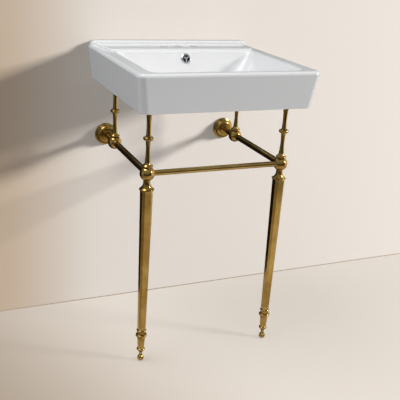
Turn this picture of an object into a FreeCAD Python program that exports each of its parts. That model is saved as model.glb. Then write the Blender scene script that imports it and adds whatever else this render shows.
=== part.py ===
"""Console sink with legs: a ceramic basin on a brass stand with two front legs.

Frame: millimetres, +Z up, the front faces -Y and the wall is at +Y. The origin is
on the floor, at the centre of the basin's footprint, so the wall plane is half a
basin depth behind it. Every size is a cell of the sheet named sizes.
"""
import FreeCAD, Part
import math
import os
import Sketcher
from FreeCAD import Placement, Rotation, Vector

# Driving dimensions: name, value in millimetres (or degrees, or a count), meaning.
SIZES = (
    # ceramic basin
    ("basin_width", 535, "side to side at rim level, before rounding"),
    ("basin_depth", 490, "wall to front at rim level, before rounding"),
    ("rim_height", 884, "floor to rim"),
    ("apron_depth", 105, "rim to lower edge of the apron"),
    ("apron_taper", 13, "inward lean of sides and front over the apron"),
    ("apron_wall", 16, "thickness of the apron walls"),
    ("slab_thickness", 16, "thickness under the rim"),
    ("corner_front", 22, "radius of the front corners in plan"),
    ("hollow_corner", 6, "radius of the hollow's corners in plan"),
    ("rim_round", 10, "rounding of the outer rim edge"),
    ("bowl_edge_round", 8, "rounding of the bowl's edge"),
    ("rim_band", 42, "rim width at the sides"),
    ("rim_front", 28, "rim width at the front"),
    ("deck_depth", 130, "wall to rear edge of the bowl"),
    ("bowl_depth", 108, "rim to bowl bottom"),
    ("bowl_side_slope", 37, "lean of the bowl's side walls, degrees"),
    ("bowl_rear_slope", 23, "lean of the bowl's rear wall, degrees"),
    ("bowl_front_slope", 32, "lean of the bowl's front wall, degrees"),
    ("bowl_corner_top", 24, "plan radius of the bowl's corners at the rim"),
    ("bowl_corner_bottom", 70, "plan radius of the bowl's corners at the bottom"),
    ("bowl_bottom_round", 40, "rounding between walls and bottom"),
    ("bowl_shell", 14, "thickness of the bowl"),
    ("deck_rise", 4, "tap deck above the rim"),
    ("deck_round", 3, "rounding of the tap deck's edge"),
    ("deck_side_inset", 18, "tap deck in from the basin's side, near the wall"),
    ("deck_straight", 46, "length of the tap deck's straight side"),
    ("curb_height", 13, "rear curb above the rim"),
    ("curb_thickness", 22, "rear curb, wall to face"),
    ("curb_end_inset", 3, "curb in from the basin's sides"),
    ("curb_end_round", 18, "rounding of the curb's ends, seen from the front"),
    ("curb_edge_round", 7, "rounding of the curb's front edge"),
    ("tap_hole_radius", 17.5, "tap holes"),
    ("tap_hole_pitch", 50.8, "tap hole spacing"),
    ("tap_hole_setback", 71, "wall to tap hole centres"),
    ("waste_hole_radius", 22.25, "waste hole"),
    ("waste_seat_radius", 31, "seat for the waste fitting"),
    ("waste_seat_depth", 4, "depth of that seat"),
    ("waste_boss_radius", 38, "boss round the waste hole"),
    ("waste_boss_drop", 18, "boss below the bowl's underside"),
    ("overflow_drop", 23, "rim to overflow centre"),
    ("overflow_hole_radius", 13, "overflow hole"),
    ("duct_gap", 14, "overflow duct, front to back"),
    ("duct_half_width", 14, "overflow duct, half of its width"),
    ("duct_wall", 10, "ceramic round the duct"),
    ("duct_floor_height", 10, "height of the duct under the bowl"),
    ("duct_cover", 8, "ceramic between bowl and duct"),
    ("post_boss_half", 26, "boss over each post, half of its width"),
    ("post_boss_recess", 6, "boss face above the apron's lower edge"),
    ("anchor_hole_radius", 7, "wall anchor holes"),
    ("anchor_hole_pitch", 280, "wall anchor hole spacing"),
    ("anchor_hole_drop", 62, "rim to wall anchor holes"),
    # overflow trim
    ("trim_radius", 16, "trim disc"),
    ("trim_thickness", 2.5, "trim disc"),
    ("trim_opening_radius", 13.4, "start of its sloping edge"),
    ("trim_opening_margin", 0.5, "openings to the sleeve's bore"),
    ("trim_spoke_width", 2.6, "its three spokes"),
    ("trim_sleeve_wall", 0.8, "wall of its sleeve"),
    ("trim_sleeve_length", 9, "length of its sleeve"),
    ("trim_clearance", 0.4, "sleeve to ceramic"),
    # stand layout
    ("post_side_inset", 59, "basin's side to the post axes"),
    ("post_front_inset", 81, "basin's front to the front posts"),
    ("rear_setback", 100, "wall to the rear posts"),
    ("leg_bottom_height", 107.5, "floor to the bottom of the legs"),
    # pads and posts
    ("pad_radius", 13, "rubber pads"),
    ("pad_thickness", 4, "rubber pads"),
    ("post_length", 163.5, "hub collar to rubber pad"),
    ("post_ring_radius", 15.5, "crest of the post's base ring"),
    ("post_ring_height", 3, "height of that ring"),
    ("post_ring_root", 14.6, "root of that ring"),
    ("post_base_hollow", 13.8, "hollow flare just above the ring"),
    ("post_base_height", 16, "base of the post to the end of the flare"),
    ("post_root_radius", 7.6, "post at the end of the flare"),
    ("post_low_waist", 5.8, "waist below the knob"),
    ("post_knob_neck", 7.2, "post beside the knob"),
    ("post_knob_height", 79, "base of the post to the knob's centre"),
    ("post_knob_half", 5.2, "half of the knob's height"),
    ("post_knob_root", 9.6, "root of the knob"),
    ("post_knob_radius", 14.2, "crest of the knob"),
    ("post_high_waist", 5.4, "waist above the knob"),
    ("post_shoulder_radius", 8, "post below its top flare"),
    ("post_flare_height", 17.5, "height of the top flare and flange"),
    ("post_flare_radius", 15, "radius of the flare's hollow"),
    ("post_flange_radius", 14, "top flange"),
    ("post_flange_height", 3.5, "top flange"),
    # hubs
    ("hub_radius", 21, "ball of each hub"),
    ("hub_collar_radius", 10, "collars of each hub"),
    ("hub_collar_height", 20, "hub centre to a collar's face"),
    ("socket_stop", 9, "hub centre to the end of a bar"),
    # bars
    ("front_bar_radius", 8, "front bar"),
    ("side_bar_radius", 9.5, "side bars"),
    ("bar_wall", 1.6, "bar tube wall"),
    ("bar_clearance", 0.05, "bar to socket, radial"),
    # threaded studs and rods
    ("stud_radius", 4, "studs and leg rods"),
    ("stud_clearance", 0.05, "stud to hole, radial"),
    ("stud_in_hub", 9, "stud depth in a hub"),
    ("stud_in_post", 25, "stud depth in a post"),
    ("rod_in_hub", 12, "leg rod depth in a hub"),
    ("rod_in_ferrule", 29, "leg rod depth in a ferrule"),
    # legs
    ("leg_top_width", 32, "leg across flats at the top"),
    ("leg_bottom_width", 21.5, "leg across flats at the bottom"),
    ("leg_chamfer_top", 6.6, "corner cut at the top"),
    ("leg_chamfer_bottom", 4.4, "corner cut at the bottom"),
    ("leg_bore_radius", 6.5, "bore of the leg"),
    ("spigot_clearance", 0.05, "spigots to the leg's bore, radial"),
    ("cap_ring_root", 20, "root of the leg cap's ring"),
    ("cap_ring_radius", 21, "crest of the leg cap's ring"),
    ("cap_height", 27.5, "top of the leg to the hub's collar"),
    ("cap_ring_height", 3.5, "height of that ring"),
    ("cap_hollow_radius", 19.3, "leg cap just above its ring"),
    ("cap_neck_radius", 10, "neck of the leg cap"),
    ("cap_neck_height", 4, "straight part of the neck"),
    ("cap_spigot_length", 10, "spigot in the leg"),
    # ferrules
    ("ferrule_spigot_length", 12, "spigot in the leg"),
    ("ferrule_height", 76.5, "shoulder to lower face"),
    ("ring_a_root", 12, "root of the upper ring"),
    ("ring_a_radius", 14.6, "crest of the upper ring"),
    ("ring_a_height", 6, "height of the upper ring"),
    ("ring_neck_radius", 11, "neck between the rings"),
    ("ring_neck_height", 9, "height of that neck"),
    ("ring_b_root", 13, "root of the large ring"),
    ("ring_b_radius", 17, "crest of the large ring"),
    ("ring_b_height", 9, "height of the large ring"),
    ("groove_radius", 10, "groove below the large ring"),
    ("groove_height", 5, "height of that groove"),
    ("groove_upper_cone", 0.5, "length of the cone into the groove"),
    ("groove_lower_cone", 1.5, "length of the cone out of the groove"),
    ("ferrule_body_top", 11.8, "ferrule body at its top"),
    ("ferrule_body_bottom", 9.4, "ferrule body at its bottom"),
    ("ring_c_root", 10.4, "root of the lower ring"),
    ("ring_c_radius", 12.8, "crest of the lower ring"),
    ("ring_c_height", 7, "height of the lower ring"),
    ("ferrule_tip_radius", 7, "lower face of the ferrule"),
    ("ferrule_tip_height", 5.5, "lower ring to lower face"),
    # levelling feet
    ("foot_ball_radius", 10, "ball of each foot"),
    ("foot_ball_height", 9.6, "floor to the ball's centre"),
    ("foot_stem_radius", 5, "stem of each foot"),
    ("foot_stem_top", 71, "floor to the top of the stem"),
    ("foot_clearance", 0.05, "stem to ferrule, radial"),
    ("foot_travel_in", 5, "room above the stem"),
    # wall brackets and cover flanges
    ("plate_radius", 28, "bracket plate"),
    ("plate_thickness", 4, "bracket plate"),
    ("bracket_socket_radius", 13.5, "outside of the bracket's socket"),
    ("bracket_socket_length", 18, "wall to the socket's mouth"),
    ("bracket_screw_circle", 40, "circle of the wall screw holes"),
    ("bracket_screw_radius", 2.75, "wall screw holes"),
    ("bracket_screw_count", 3, "wall screw holes"),
    ("flange_radius", 35, "cover flange"),
    ("flange_rim", 4, "height of the flange's rim"),
    ("flange_step", 2.8, "each step of the flange, inwards"),
    ("flange_step_height", 3.6, "each step of the flange, outwards"),
    ("flange_cone", 1.2, "length and width of the flange's small cones"),
    ("flange_collar_radius", 16, "collar of the flange"),
    ("flange_collar_start", 20, "wall to the collar"),
    ("flange_length", 26, "wall to the flange's nose"),
    ("flange_hollow", 3, "depth of the flange's curved hollow"),
    ("flange_wall", 1.6, "least wall of the flange"),
    ("flange_plate_gap", 0.2, "plate to flange, radial"),
    ("flange_bar_gap", 0.3, "bar to flange, radial"),
    # grub screws
    ("grub_radius", 2.5, "grub screws"),
    ("grub_length", 5, "grub screws"),
    ("grub_socket_radius", 1.45, "hexagon socket, centre to corner"),
    ("grub_socket_depth", 2.5, "hexagon socket"),
    ("grub_clearance", 0.05, "grub screw to its hole, radial"),
    # common to several pieces
    ("ring_cone", 1, "length of the short cones beside rings and knobs"),
    ("hollow_share", 0.3, "depth of a hollow flare, as a share of its width"),
    ("cut_over", 1, "how far a cut starts outside the face that it enters"),
)

doc = FreeCAD.newDocument("console_sink")
sheet = doc.addObject("Spreadsheet::Sheet", "sizes")
for row, (alias, number, meaning) in enumerate(SIZES, start=1):
    sheet.set(f"A{row}", alias)
    sheet.set(f"B{row}", str(number))
    sheet.set(f"C{row}", meaning)
    sheet.setAlias(f"B{row}", alias)
doc.recompute()

NODES = []
SIDES = (("left", -1), ("right", 1))


# ---------------------------------------------------------------- expressions

def cell(expression):
    """Turn each size name in an expression into its cell."""
    words = []
    word = ""
    for sign in expression + " ":
        if sign.isalnum() or sign == "_":
            word += sign
            continue
        words.append(f"sizes.{word}" if word in ALIASES else word)
        words.append(sign)
        word = ""
    return "".join(words).strip()


ALIASES = {alias for alias, number, meaning in SIZES}


def value(expression):
    """The number that an expression of size names has now."""
    result = sheet.evalExpression(cell(str(expression)))
    return float(getattr(result, "Value", result))


def bind(thing, prop, expression):
    """Drive a property from the sheet."""
    thing.setExpression(prop, cell(str(expression)))


def crest_radius(chord, rise):
    """Radius of the arc that rises this far over this chord."""
    return f"(({chord})^2 / 4 + ({rise})^2) / (2 * ({rise}))"


def flare_radius(width, height):
    """Radius of a hollow flare of this width and height."""
    chord = f"sqrt(({width})^2 + ({height})^2)"
    return crest_radius(chord, f"({width}) * hollow_share")


# ---------------------------------------------------------------- construction

def new_body(name):
    """A named body that is written to its own file."""
    body = doc.addObject("PartDesign::Body", name)
    body.Label = name
    NODES.append(body)
    return body


def place(thing, x="0", y="0", z="0"):
    """Put a sub-part at a place given by expressions."""
    for axis, expression in zip("xyz", (x, y, z)):
        bind(thing, f"Placement.Base.{axis}", expression)


def origin_plane(body, role):
    """One of the body's own origin planes."""
    return next(f for f in body.Origin.OriginFeatures if f.Role == role)


def new_sketch(body, name, role, offset="0"):
    """A sketch on an origin plane of its body, moved along the plane's normal."""
    sketch = body.newObject("Sketcher::SketchObject", name)
    sketch.AttachmentSupport = [(origin_plane(body, role), "")]
    sketch.MapMode = "FlatFace"
    bind(sketch, "AttachmentOffset.Base.z", offset)
    return sketch


def fix_point(sketch, geometry, point, x, y):
    """Hold one point of a sketch at a place given by expressions."""
    for kind, expression, axis in (("DistanceX", x, -2), ("DistanceY", y, -1)):
        number = value(expression)
        if expression == "0":
            sketch.addConstraint(Sketcher.Constraint("PointOnObject", geometry, point, axis))
            continue
        index = sketch.addConstraint(
            Sketcher.Constraint(kind, -1, 1, geometry, point, number))
        bind(sketch, f"Constraints[{index}]", expression)


def arc_between(start, end, radius, turn):
    """The short arc between two points; turn is left or right along the way."""
    chord = end.sub(start)
    half = chord.Length / 2
    rise = math.sqrt(max(radius * radius - half * half, 0.0))
    normal = Vector(-chord.y, chord.x, 0).normalize()
    centre = start.add(end).multiply(0.5).add(normal.multiply(rise if turn == "left" else -rise))
    first, last = (start, end) if turn == "left" else (end, start)
    angles = [math.atan2(p.y - centre.y, p.x - centre.x) for p in (first, last)]
    circle = Part.Circle(centre, Vector(0, 0, 1), radius)
    return Part.ArcOfCircle(circle, angles[0], angles[1])


def outline(sketch, corners, arcs=None):
    """A closed outline through corners; arcs maps a corner to (radius, turn)."""
    arcs = arcs or {}
    count = len(corners)
    places = [Vector(value(x), value(y), 0) for x, y in corners]
    ends = []
    for index in range(count):
        start, end = places[index], places[(index + 1) % count]
        if index in arcs:
            radius, turn = arcs[index]
            edge = sketch.addGeometry(arc_between(start, end, value(radius), turn), False)
            ends.append((edge, 1, 2) if turn == "left" else (edge, 2, 1))
            ring = sketch.addConstraint(Sketcher.Constraint("Radius", edge, value(radius)))
            bind(sketch, f"Constraints[{ring}]", radius)
        else:
            edge = sketch.addGeometry(Part.LineSegment(start, end), False)
            ends.append((edge, 1, 2))
    for index in range(count):
        edge, first, last = ends[index]
        other, other_first, other_last = ends[(index + 1) % count]
        sketch.addConstraint(
            Sketcher.Constraint("Coincident", edge, last, other, other_first))
        fix_point(sketch, edge, first, *corners[index])
    return sketch


def circle(sketch, radius, x="0", y="0"):
    """A circle at a place given by expressions."""
    edge = sketch.addGeometry(
        Part.Circle(Vector(value(x), value(y), 0), Vector(0, 0, 1), value(radius)), False)
    ring = sketch.addConstraint(Sketcher.Constraint("Radius", edge, value(radius)))
    bind(sketch, f"Constraints[{ring}]", radius)
    fix_point(sketch, edge, 3, x, y)
    return sketch


def rounded_box(sketch, half_width, rear, front, rear_round, front_round):
    """A rectangle from the wall side to the front, with rounded corners."""
    corners = [
        (f"-({half_width}) + {front_round}", f"-({front})"),
        (f"({half_width}) - {front_round}", f"-({front})"),
        (half_width, f"-({front}) + {front_round}"),
        (half_width, f"-({rear}) - {rear_round}"),
        (f"({half_width}) - {rear_round}", f"-({rear})"),
        (f"-({half_width}) + {rear_round}", f"-({rear})"),
        (f"-({half_width})", f"-({rear}) - {rear_round}"),
        (f"-({half_width})", f"-({front}) + {front_round}"),
    ]
    arcs = {1: (front_round, "left"), 3: (rear_round, "left"),
            5: (rear_round, "left"), 7: (front_round, "left")}
    return outline(sketch, corners, arcs)


def apron_outline(sketch, half_width, front, front_round, behind):
    """The basin's plan: rounded corners in front, square ones behind the wall plane."""
    corners = [
        (f"-({half_width}) + {front_round}", f"-({front})"),
        (f"({half_width}) - {front_round}", f"-({front})"),
        (half_width, f"-({front}) + {front_round}"),
        (half_width, behind),
        (f"-({half_width})", behind),
        (f"-({half_width})", f"-({front}) + {front_round}"),
    ]
    return outline(sketch, corners, {1: (front_round, "left"), 5: (front_round, "left")})


def box(sketch, left, right, rear, front):
    """A plain rectangle; rear and front are distances from the wall."""
    corners = [(left, f"-({front})"), (right, f"-({front})"),
               (right, f"-({rear})"), (left, f"-({rear})")]
    return outline(sketch, corners)


def loft(body, kind, name, lower, upper):
    """A straight loft between two sketches."""
    feature = body.newObject(f"PartDesign::{kind}", name)
    feature.Profile = lower
    feature.Sections = [upper]
    feature.Ruled = True
    return feature


def pad(body, name, sketch, length, backwards=False, middle=False):
    """Material along the sketch's normal."""
    feature = body.newObject("PartDesign::Pad", name)
    feature.Profile = sketch
    bind(feature, "Length", length)
    feature.Reversed = backwards
    feature.Midplane = middle
    return feature


def pocket(body, name, sketch, length, backwards=False):
    """A cut against the sketch's normal, or along it when backwards is set."""
    doc.recompute()
    before = body.Shape.Volume
    feature = body.newObject("PartDesign::Pocket", name)
    feature.Profile = sketch
    bind(feature, "Length", length)
    feature.Reversed = backwards
    doc.recompute()
    if body.Shape.Volume > before - 1.0:
        raise RuntimeError(f"{body.Label}: {name} removes nothing")
    return feature


def turned(body, name, sketch):
    """A solid of revolution about the sketch's vertical axis."""
    feature = body.newObject("PartDesign::Revolution", name)
    feature.Profile = sketch
    feature.ReferenceAxis = (sketch, ["V_Axis"])
    feature.Angle = 360
    return feature


def rounding(body, name, base, edges, radius):
    """Fillets on the edges of the base that a test picks."""
    doc.recompute()
    names = [f"Edge{i}" for i, edge in enumerate(base.Shape.Edges, start=1) if edges(edge)]
    if not names:
        raise RuntimeError(f"{body.Label}: {name} finds no edge")
    feature = body.newObject("PartDesign::Fillet", name)
    feature.Base = (base, names)
    bind(feature, "Radius", radius)
    return feature


# ---------------------------------------------------------------- shared places

WALL_Y = "basin_depth / 2"
POST_X = "(basin_width / 2 - post_side_inset)"
FRONT_SETBACK = "(basin_depth - post_front_inset)"
FRONT_Y = f"{WALL_Y} - {FRONT_SETBACK}"
REAR_Y = f"{WALL_Y} - rear_setback"
POST_TOP = "(rim_height - apron_depth + post_boss_recess - pad_thickness)"
POST_BASE = f"({POST_TOP} - post_length)"
HUB_HEIGHT = f"({POST_BASE} - hub_collar_height)"
LEG_TOP = f"({HUB_HEIGHT} - hub_collar_height - cap_height)"
STATIONS = tuple(
    (f"{end}_{side}", f"{sign} * {POST_X}", depth, end, sign)
    for end, depth in (("front", FRONT_Y), ("rear", REAR_Y))
    for side, sign in SIDES
)


# ---------------------------------------------------------------- basin

BOWL_HALF = "basin_width / 2 - rim_band"
BOWL_FRONT = "basin_depth - rim_front"
BOWL_LOW_HALF = f"{BOWL_HALF} - bowl_depth * tan(bowl_side_slope * 1deg)"
BOWL_LOW_REAR = "deck_depth + bowl_depth * tan(bowl_rear_slope * 1deg)"
BOWL_LOW_FRONT = f"{BOWL_FRONT} - bowl_depth * tan(bowl_front_slope * 1deg)"
BOWL_UNDERSIDE = "bowl_depth + bowl_shell"
WASTE_Y = f"({BOWL_LOW_REAR} + {BOWL_LOW_FRONT}) / 2"
DUCT_BOTTOM = "bowl_depth + duct_cover + duct_floor_height"


def near(number, target, slack=0.01):
    """Whether two numbers agree."""
    return abs(number - target) < slack


def apron(body):
    """The outer block, hollow from below."""
    low = new_sketch(body, "apron_low", "XY_Plane", "-apron_depth")
    apron_outline(low, "basin_width / 2 - apron_taper", "basin_depth - apron_taper",
                  "corner_front", "cut_over")
    high = new_sketch(body, "apron_high", "XY_Plane", "0")
    apron_outline(high, "basin_width / 2", "basin_depth", "corner_front", "cut_over")
    loft(body, "AdditiveLoft", "apron_outer", low, high)
    back = new_sketch(body, "back_outline", "XZ_Plane", "0")
    beyond = "basin_width / 2 + cut_over"
    bottom = "-(apron_depth + cut_over)"
    outline(back, [(f"-({beyond})", bottom), (beyond, bottom), (beyond, "cut_over"),
                   (f"-({beyond})", "cut_over")])
    pocket(body, "flat_back", back, "2 * cut_over")
    lean = "apron_taper * slab_thickness / apron_depth"
    hollow_low = new_sketch(body, "hollow_low", "XY_Plane", "-apron_depth")
    rounded_box(hollow_low, "basin_width / 2 - apron_taper - apron_wall", "apron_wall",
                "basin_depth - apron_taper - apron_wall", "hollow_corner", "hollow_corner")
    hollow_high = new_sketch(body, "hollow_high", "XY_Plane", "-slab_thickness")
    rounded_box(hollow_high, f"basin_width / 2 - {lean} - apron_wall", "apron_wall",
                f"basin_depth - {lean} - apron_wall", "hollow_corner", "hollow_corner")
    loft(body, "SubtractiveLoft", "apron_hollow", hollow_low, hollow_high)


def post_bosses(body):
    """Four solid bosses that stand on the pads, merged into the apron walls."""
    inner = f"{POST_X} - post_boss_half"
    inset = "(apron_taper + apron_wall + apron_taper * slab_thickness / apron_depth) / 2"
    outer = f"basin_width / 2 - {inset}"
    front = f"basin_depth - {inset}"
    corner = "(corner_front + hollow_corner) / 2"
    face = "-(apron_depth - post_boss_recess)"
    height = "apron_depth - post_boss_recess - slab_thickness / 2"
    for side, sign in SIDES:
        near_x, far_x = f"{sign} * ({inner})", f"{sign} * ({outer})"
        bend_x = f"{sign} * ({outer} - {corner})"
        rear = new_sketch(body, f"boss_rear_{side}_outline", "XY_Plane", face)
        box(rear, near_x, far_x, "rear_setback - post_boss_half",
            "rear_setback + post_boss_half")
        pad(body, f"boss_rear_{side}", rear, height)
        outer_boss = new_sketch(body, f"boss_front_{side}_outline", "XY_Plane", face)
        behind = f"-({FRONT_SETBACK} - post_boss_half)"
        corners = [(near_x, f"-({front})"), (bend_x, f"-({front})"),
                   (far_x, f"-({front}) + {corner}"), (far_x, behind), (near_x, behind)]
        turn = "left" if sign > 0 else "right"
        outline(outer_boss, corners, {1: (corner, turn)})
        pad(body, f"boss_front_{side}", outer_boss, height)


def bowl_shell(body):
    """The bowl's outside, the waste boss and the overflow duct's outside."""
    side = "bowl_shell / cos(bowl_side_slope * 1deg)"
    rear = "bowl_shell / cos(bowl_rear_slope * 1deg)"
    front = "bowl_shell / cos(bowl_front_slope * 1deg)"
    low = new_sketch(body, "shell_low", "XY_Plane", f"-({BOWL_UNDERSIDE})")
    drop = "bowl_shell"
    rounded_box(low,
                f"{BOWL_LOW_HALF} + {side} - {drop} * tan(bowl_side_slope * 1deg)",
                f"{BOWL_LOW_REAR} - {rear} + {drop} * tan(bowl_rear_slope * 1deg)",
                f"{BOWL_LOW_FRONT} + {front} - {drop} * tan(bowl_front_slope * 1deg)",
                "bowl_corner_bottom", "bowl_corner_bottom")
    high = new_sketch(body, "shell_high", "XY_Plane", "-slab_thickness / 2")
    start = "slab_thickness / 2"
    rounded_box(high,
                f"{BOWL_HALF} + {side} - {start} * tan(bowl_side_slope * 1deg)",
                f"deck_depth - {rear} + {start} * tan(bowl_rear_slope * 1deg)",
                f"{BOWL_FRONT} + {front} - {start} * tan(bowl_front_slope * 1deg)",
                "bowl_corner_top + bowl_shell", "bowl_corner_top + bowl_shell")
    loft(body, "AdditiveLoft", "bowl_outside", low, high)
    boss = new_sketch(body, "waste_boss_outline", "XY_Plane",
                      f"-({BOWL_UNDERSIDE} + waste_boss_drop)")
    circle(boss, "waste_boss_radius", "0", f"-({WASTE_Y})")
    pad(body, "waste_boss", boss, "waste_boss_drop + bowl_shell / 2")


def duct_face(depth, cover):
    """Distance from the wall to a plane behind the bowl's rear wall."""
    return f"deck_depth + ({depth}) * tan(bowl_rear_slope * 1deg) - ({cover})"


def duct_outside(body):
    """Ceramic round the overflow duct: down the rear wall, then under the bowl."""
    half = "duct_half_width + duct_wall"
    bottom = f"{DUCT_BOTTOM} + duct_wall"
    back = "duct_cover + duct_gap + 2 * duct_wall"
    low = new_sketch(body, "duct_wall_low", "XY_Plane", f"-({bottom})")
    box(low, f"-({half})", half, duct_face(bottom, back), duct_face(bottom, "0"))
    high = new_sketch(body, "duct_wall_high", "XY_Plane", "-slab_thickness / 2")
    box(high, f"-({half})", half, duct_face("slab_thickness / 2", back),
        duct_face("slab_thickness / 2", "0"))
    loft(body, "AdditiveLoft", "duct_back", low, high)
    floor = new_sketch(body, "duct_floor_outline", "XY_Plane", f"-({bottom})")
    box(floor, f"-({half})", half, duct_face(bottom, back), WASTE_Y)
    pad(body, "duct_floor", floor, f"{bottom} - bowl_depth - bowl_shell / 2")


def bowl_inside(body):
    """The bowl, with its rounded bottom and rim."""
    low = new_sketch(body, "bowl_low", "XY_Plane", "-bowl_depth")
    rounded_box(low, BOWL_LOW_HALF, BOWL_LOW_REAR, BOWL_LOW_FRONT,
                "bowl_corner_bottom", "bowl_corner_bottom")
    high = new_sketch(body, "bowl_high", "XY_Plane", "0")
    rounded_box(high, BOWL_HALF, "deck_depth", BOWL_FRONT,
                "bowl_corner_top", "bowl_corner_top")
    cut = loft(body, "SubtractiveLoft", "bowl_cut", low, high)
    depth = -value("bowl_depth")
    inside = value(BOWL_LOW_HALF) + 1
    bottom = rounding(
        body, "bowl_bottom_rounding", cut,
        lambda e: near(e.BoundBox.ZMin, depth) and near(e.BoundBox.ZMax, depth)
        and e.BoundBox.XMax < inside and e.BoundBox.XMin > -inside
        and near_bowl_floor(e), "bowl_bottom_round")
    return bottom


def near_bowl_floor(edge):
    """Whether an edge lies on the outline of the bowl's bottom."""
    centre = edge.CenterOfMass
    rear = -value(BOWL_LOW_REAR) + 1
    front = -value(BOWL_LOW_FRONT) - 1
    return front < centre.y < rear


def rim_roundings(body, base):
    """Round the outer edge of the rim, except along the wall, and the bowl's edge."""
    half = value(BOWL_HALF) + 1
    wall = -value("curb_thickness") / 4

    def on_rim(edge):
        return near(edge.BoundBox.ZMin, 0) and near(edge.BoundBox.ZMax, 0)

    def outer(edge):
        box_ = edge.BoundBox
        outside = max(abs(box_.XMin), abs(box_.XMax)) > half or box_.YMin < -value(BOWL_FRONT) - 1
        return on_rim(edge) and outside and edge.CenterOfMass.y < wall

    def inner(edge):
        box_ = edge.BoundBox
        inside = max(abs(box_.XMin), abs(box_.XMax)) < half and box_.YMax < -1
        return on_rim(edge) and inside and box_.YMin > -value(BOWL_FRONT) - 1

    first = rounding(body, "rim_rounding", base, outer, "rim_round")
    return rounding(body, "bowl_edge_rounding", first, inner, "bowl_edge_round")


def tap_deck(body):
    """The raised tap deck and the curb along the wall."""
    side = "basin_width / 2 - deck_side_inset"
    bowl_side = f"{BOWL_HALF} + bowl_edge_round"
    front = "deck_depth - bowl_edge_round"
    sketch = new_sketch(body, "deck_outline", "XY_Plane", "-slab_thickness / 4")
    corners = [(f"-({bowl_side})", f"-({front})"), (bowl_side, f"-({front})"),
               (side, "-deck_straight"), (side, "-curb_thickness / 2"),
               (f"-({side})", "-curb_thickness / 2"), (f"-({side})", "-deck_straight")]
    outline(sketch, corners)
    deck = pad(body, "deck", sketch, "deck_rise + slab_thickness / 4")
    level = value("deck_rise")
    behind = -value("curb_thickness")
    soft = rounding(
        body, "deck_rounding", deck,
        lambda e: near(e.BoundBox.ZMin, level) and near(e.BoundBox.ZMax, level)
        and e.BoundBox.YMin < behind, "deck_round")
    curb(body)


def curb(body):
    """The curb along the wall, with rounded ends and a rounded front edge."""
    level = "curb_height - curb_end_round"
    end = "basin_width / 2 - curb_end_inset"
    root = f"{level} - slab_thickness / 4"
    face = new_sketch(body, "curb_outline", "XZ_Plane", "0")
    corners = [(f"-({end})", root), (end, root), (end, level),
               (f"{end} - curb_end_round", "curb_height"),
               (f"-({end}) + curb_end_round", "curb_height"), (f"-({end})", level)]
    outline(face, corners, {2: ("curb_end_round", "left"), 4: ("curb_end_round", "left")})
    block = pad(body, "curb", face, "curb_thickness")
    front = -value("curb_thickness")
    level_now = value("deck_rise") + 0.5
    rounding(
        body, "curb_rounding", block,
        lambda e: near(e.BoundBox.YMin, front) and near(e.BoundBox.YMax, front)
        and e.BoundBox.ZMax > level_now, "curb_edge_round")


def basin_holes(body):
    """Tap holes, waste hole and seat, overflow duct and hole, and wall anchor holes."""
    holes = new_sketch(body, "tap_holes_outline", "XY_Plane", "deck_rise + cut_over")
    for step in (-1, 0, 1):
        circle(holes, "tap_hole_radius", f"{step} * tap_hole_pitch" if step else "0",
               "-tap_hole_setback")
    pocket(body, "tap_holes", holes, "deck_rise + slab_thickness + 2 * cut_over")
    seat = new_sketch(body, "waste_seat_outline", "XY_Plane",
                      "-(bowl_depth - waste_seat_depth)")
    circle(seat, "waste_seat_radius", "0", f"-({WASTE_Y})")
    pocket(body, "waste_seat", seat, "2 * waste_seat_depth")
    duct = new_sketch(body, "duct_cut_outline", "XY_Plane", f"-({DUCT_BOTTOM})")
    box(duct, "-duct_half_width", "duct_half_width",
        duct_face(DUCT_BOTTOM, "duct_cover + duct_gap + duct_wall"), WASTE_Y)
    pocket(body, "duct_floor_cut", duct, "duct_floor_height", backwards=True)
    low = new_sketch(body, "duct_cut_low", "XY_Plane", f"-({DUCT_BOTTOM})")
    reach = "duct_cover + duct_gap + duct_wall"
    box(low, "-duct_half_width", "duct_half_width",
        duct_face(DUCT_BOTTOM, reach), duct_face(DUCT_BOTTOM, "duct_cover + duct_wall"))
    top = "overflow_drop - overflow_hole_radius"
    high = new_sketch(body, "duct_cut_high", "XY_Plane", f"-({top})")
    box(high, "-duct_half_width", "duct_half_width",
        duct_face(top, reach), duct_face(top, "duct_cover + duct_wall"))
    loft(body, "SubtractiveLoft", "duct_cut", low, high)
    waste = new_sketch(body, "waste_hole_outline", "XY_Plane", "cut_over - bowl_depth")
    circle(waste, "waste_hole_radius", "0", f"-({WASTE_Y})")
    pocket(body, "waste_hole", waste, "bowl_shell + waste_boss_drop + 2 * cut_over")
    anchors = new_sketch(body, "anchor_outline", "XZ_Plane", "-cut_over")
    for sign in (-1, 1):
        circle(anchors, "anchor_hole_radius", f"{sign} * anchor_hole_pitch / 2",
               "-anchor_hole_drop")
    pocket(body, "anchor_holes", anchors, "apron_wall + 2 * cut_over", backwards=True)


def overflow_hole(body):
    """The round hole square to the bowl's rear wall."""
    hole = body.newObject("PartDesign::SubtractiveCylinder", "overflow_hole")
    hole.AttachmentSupport = [(origin_plane(body, "XY_Plane"), "")]
    hole.MapMode = "FlatFace"
    hole.AttachmentOffset = Placement(Vector(0, 0, 0), Rotation(Vector(1, 0, 0), 90))
    bind(hole, "AttachmentOffset.Rotation.Angle", "90 - bowl_rear_slope")
    reach = "duct_cover + duct_wall + duct_gap / 2"
    lean = "bowl_rear_slope * 1deg"
    bind(hole, "AttachmentOffset.Base.y",
         f"-({duct_face('overflow_drop', '0')}) + ({reach}) * cos({lean})")
    bind(hole, "AttachmentOffset.Base.z", f"-overflow_drop - ({reach}) * sin({lean})")
    bind(hole, "Radius", "overflow_hole_radius")
    bind(hole, "Height", f"{reach} + 2 * cut_over")
    return hole


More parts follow.
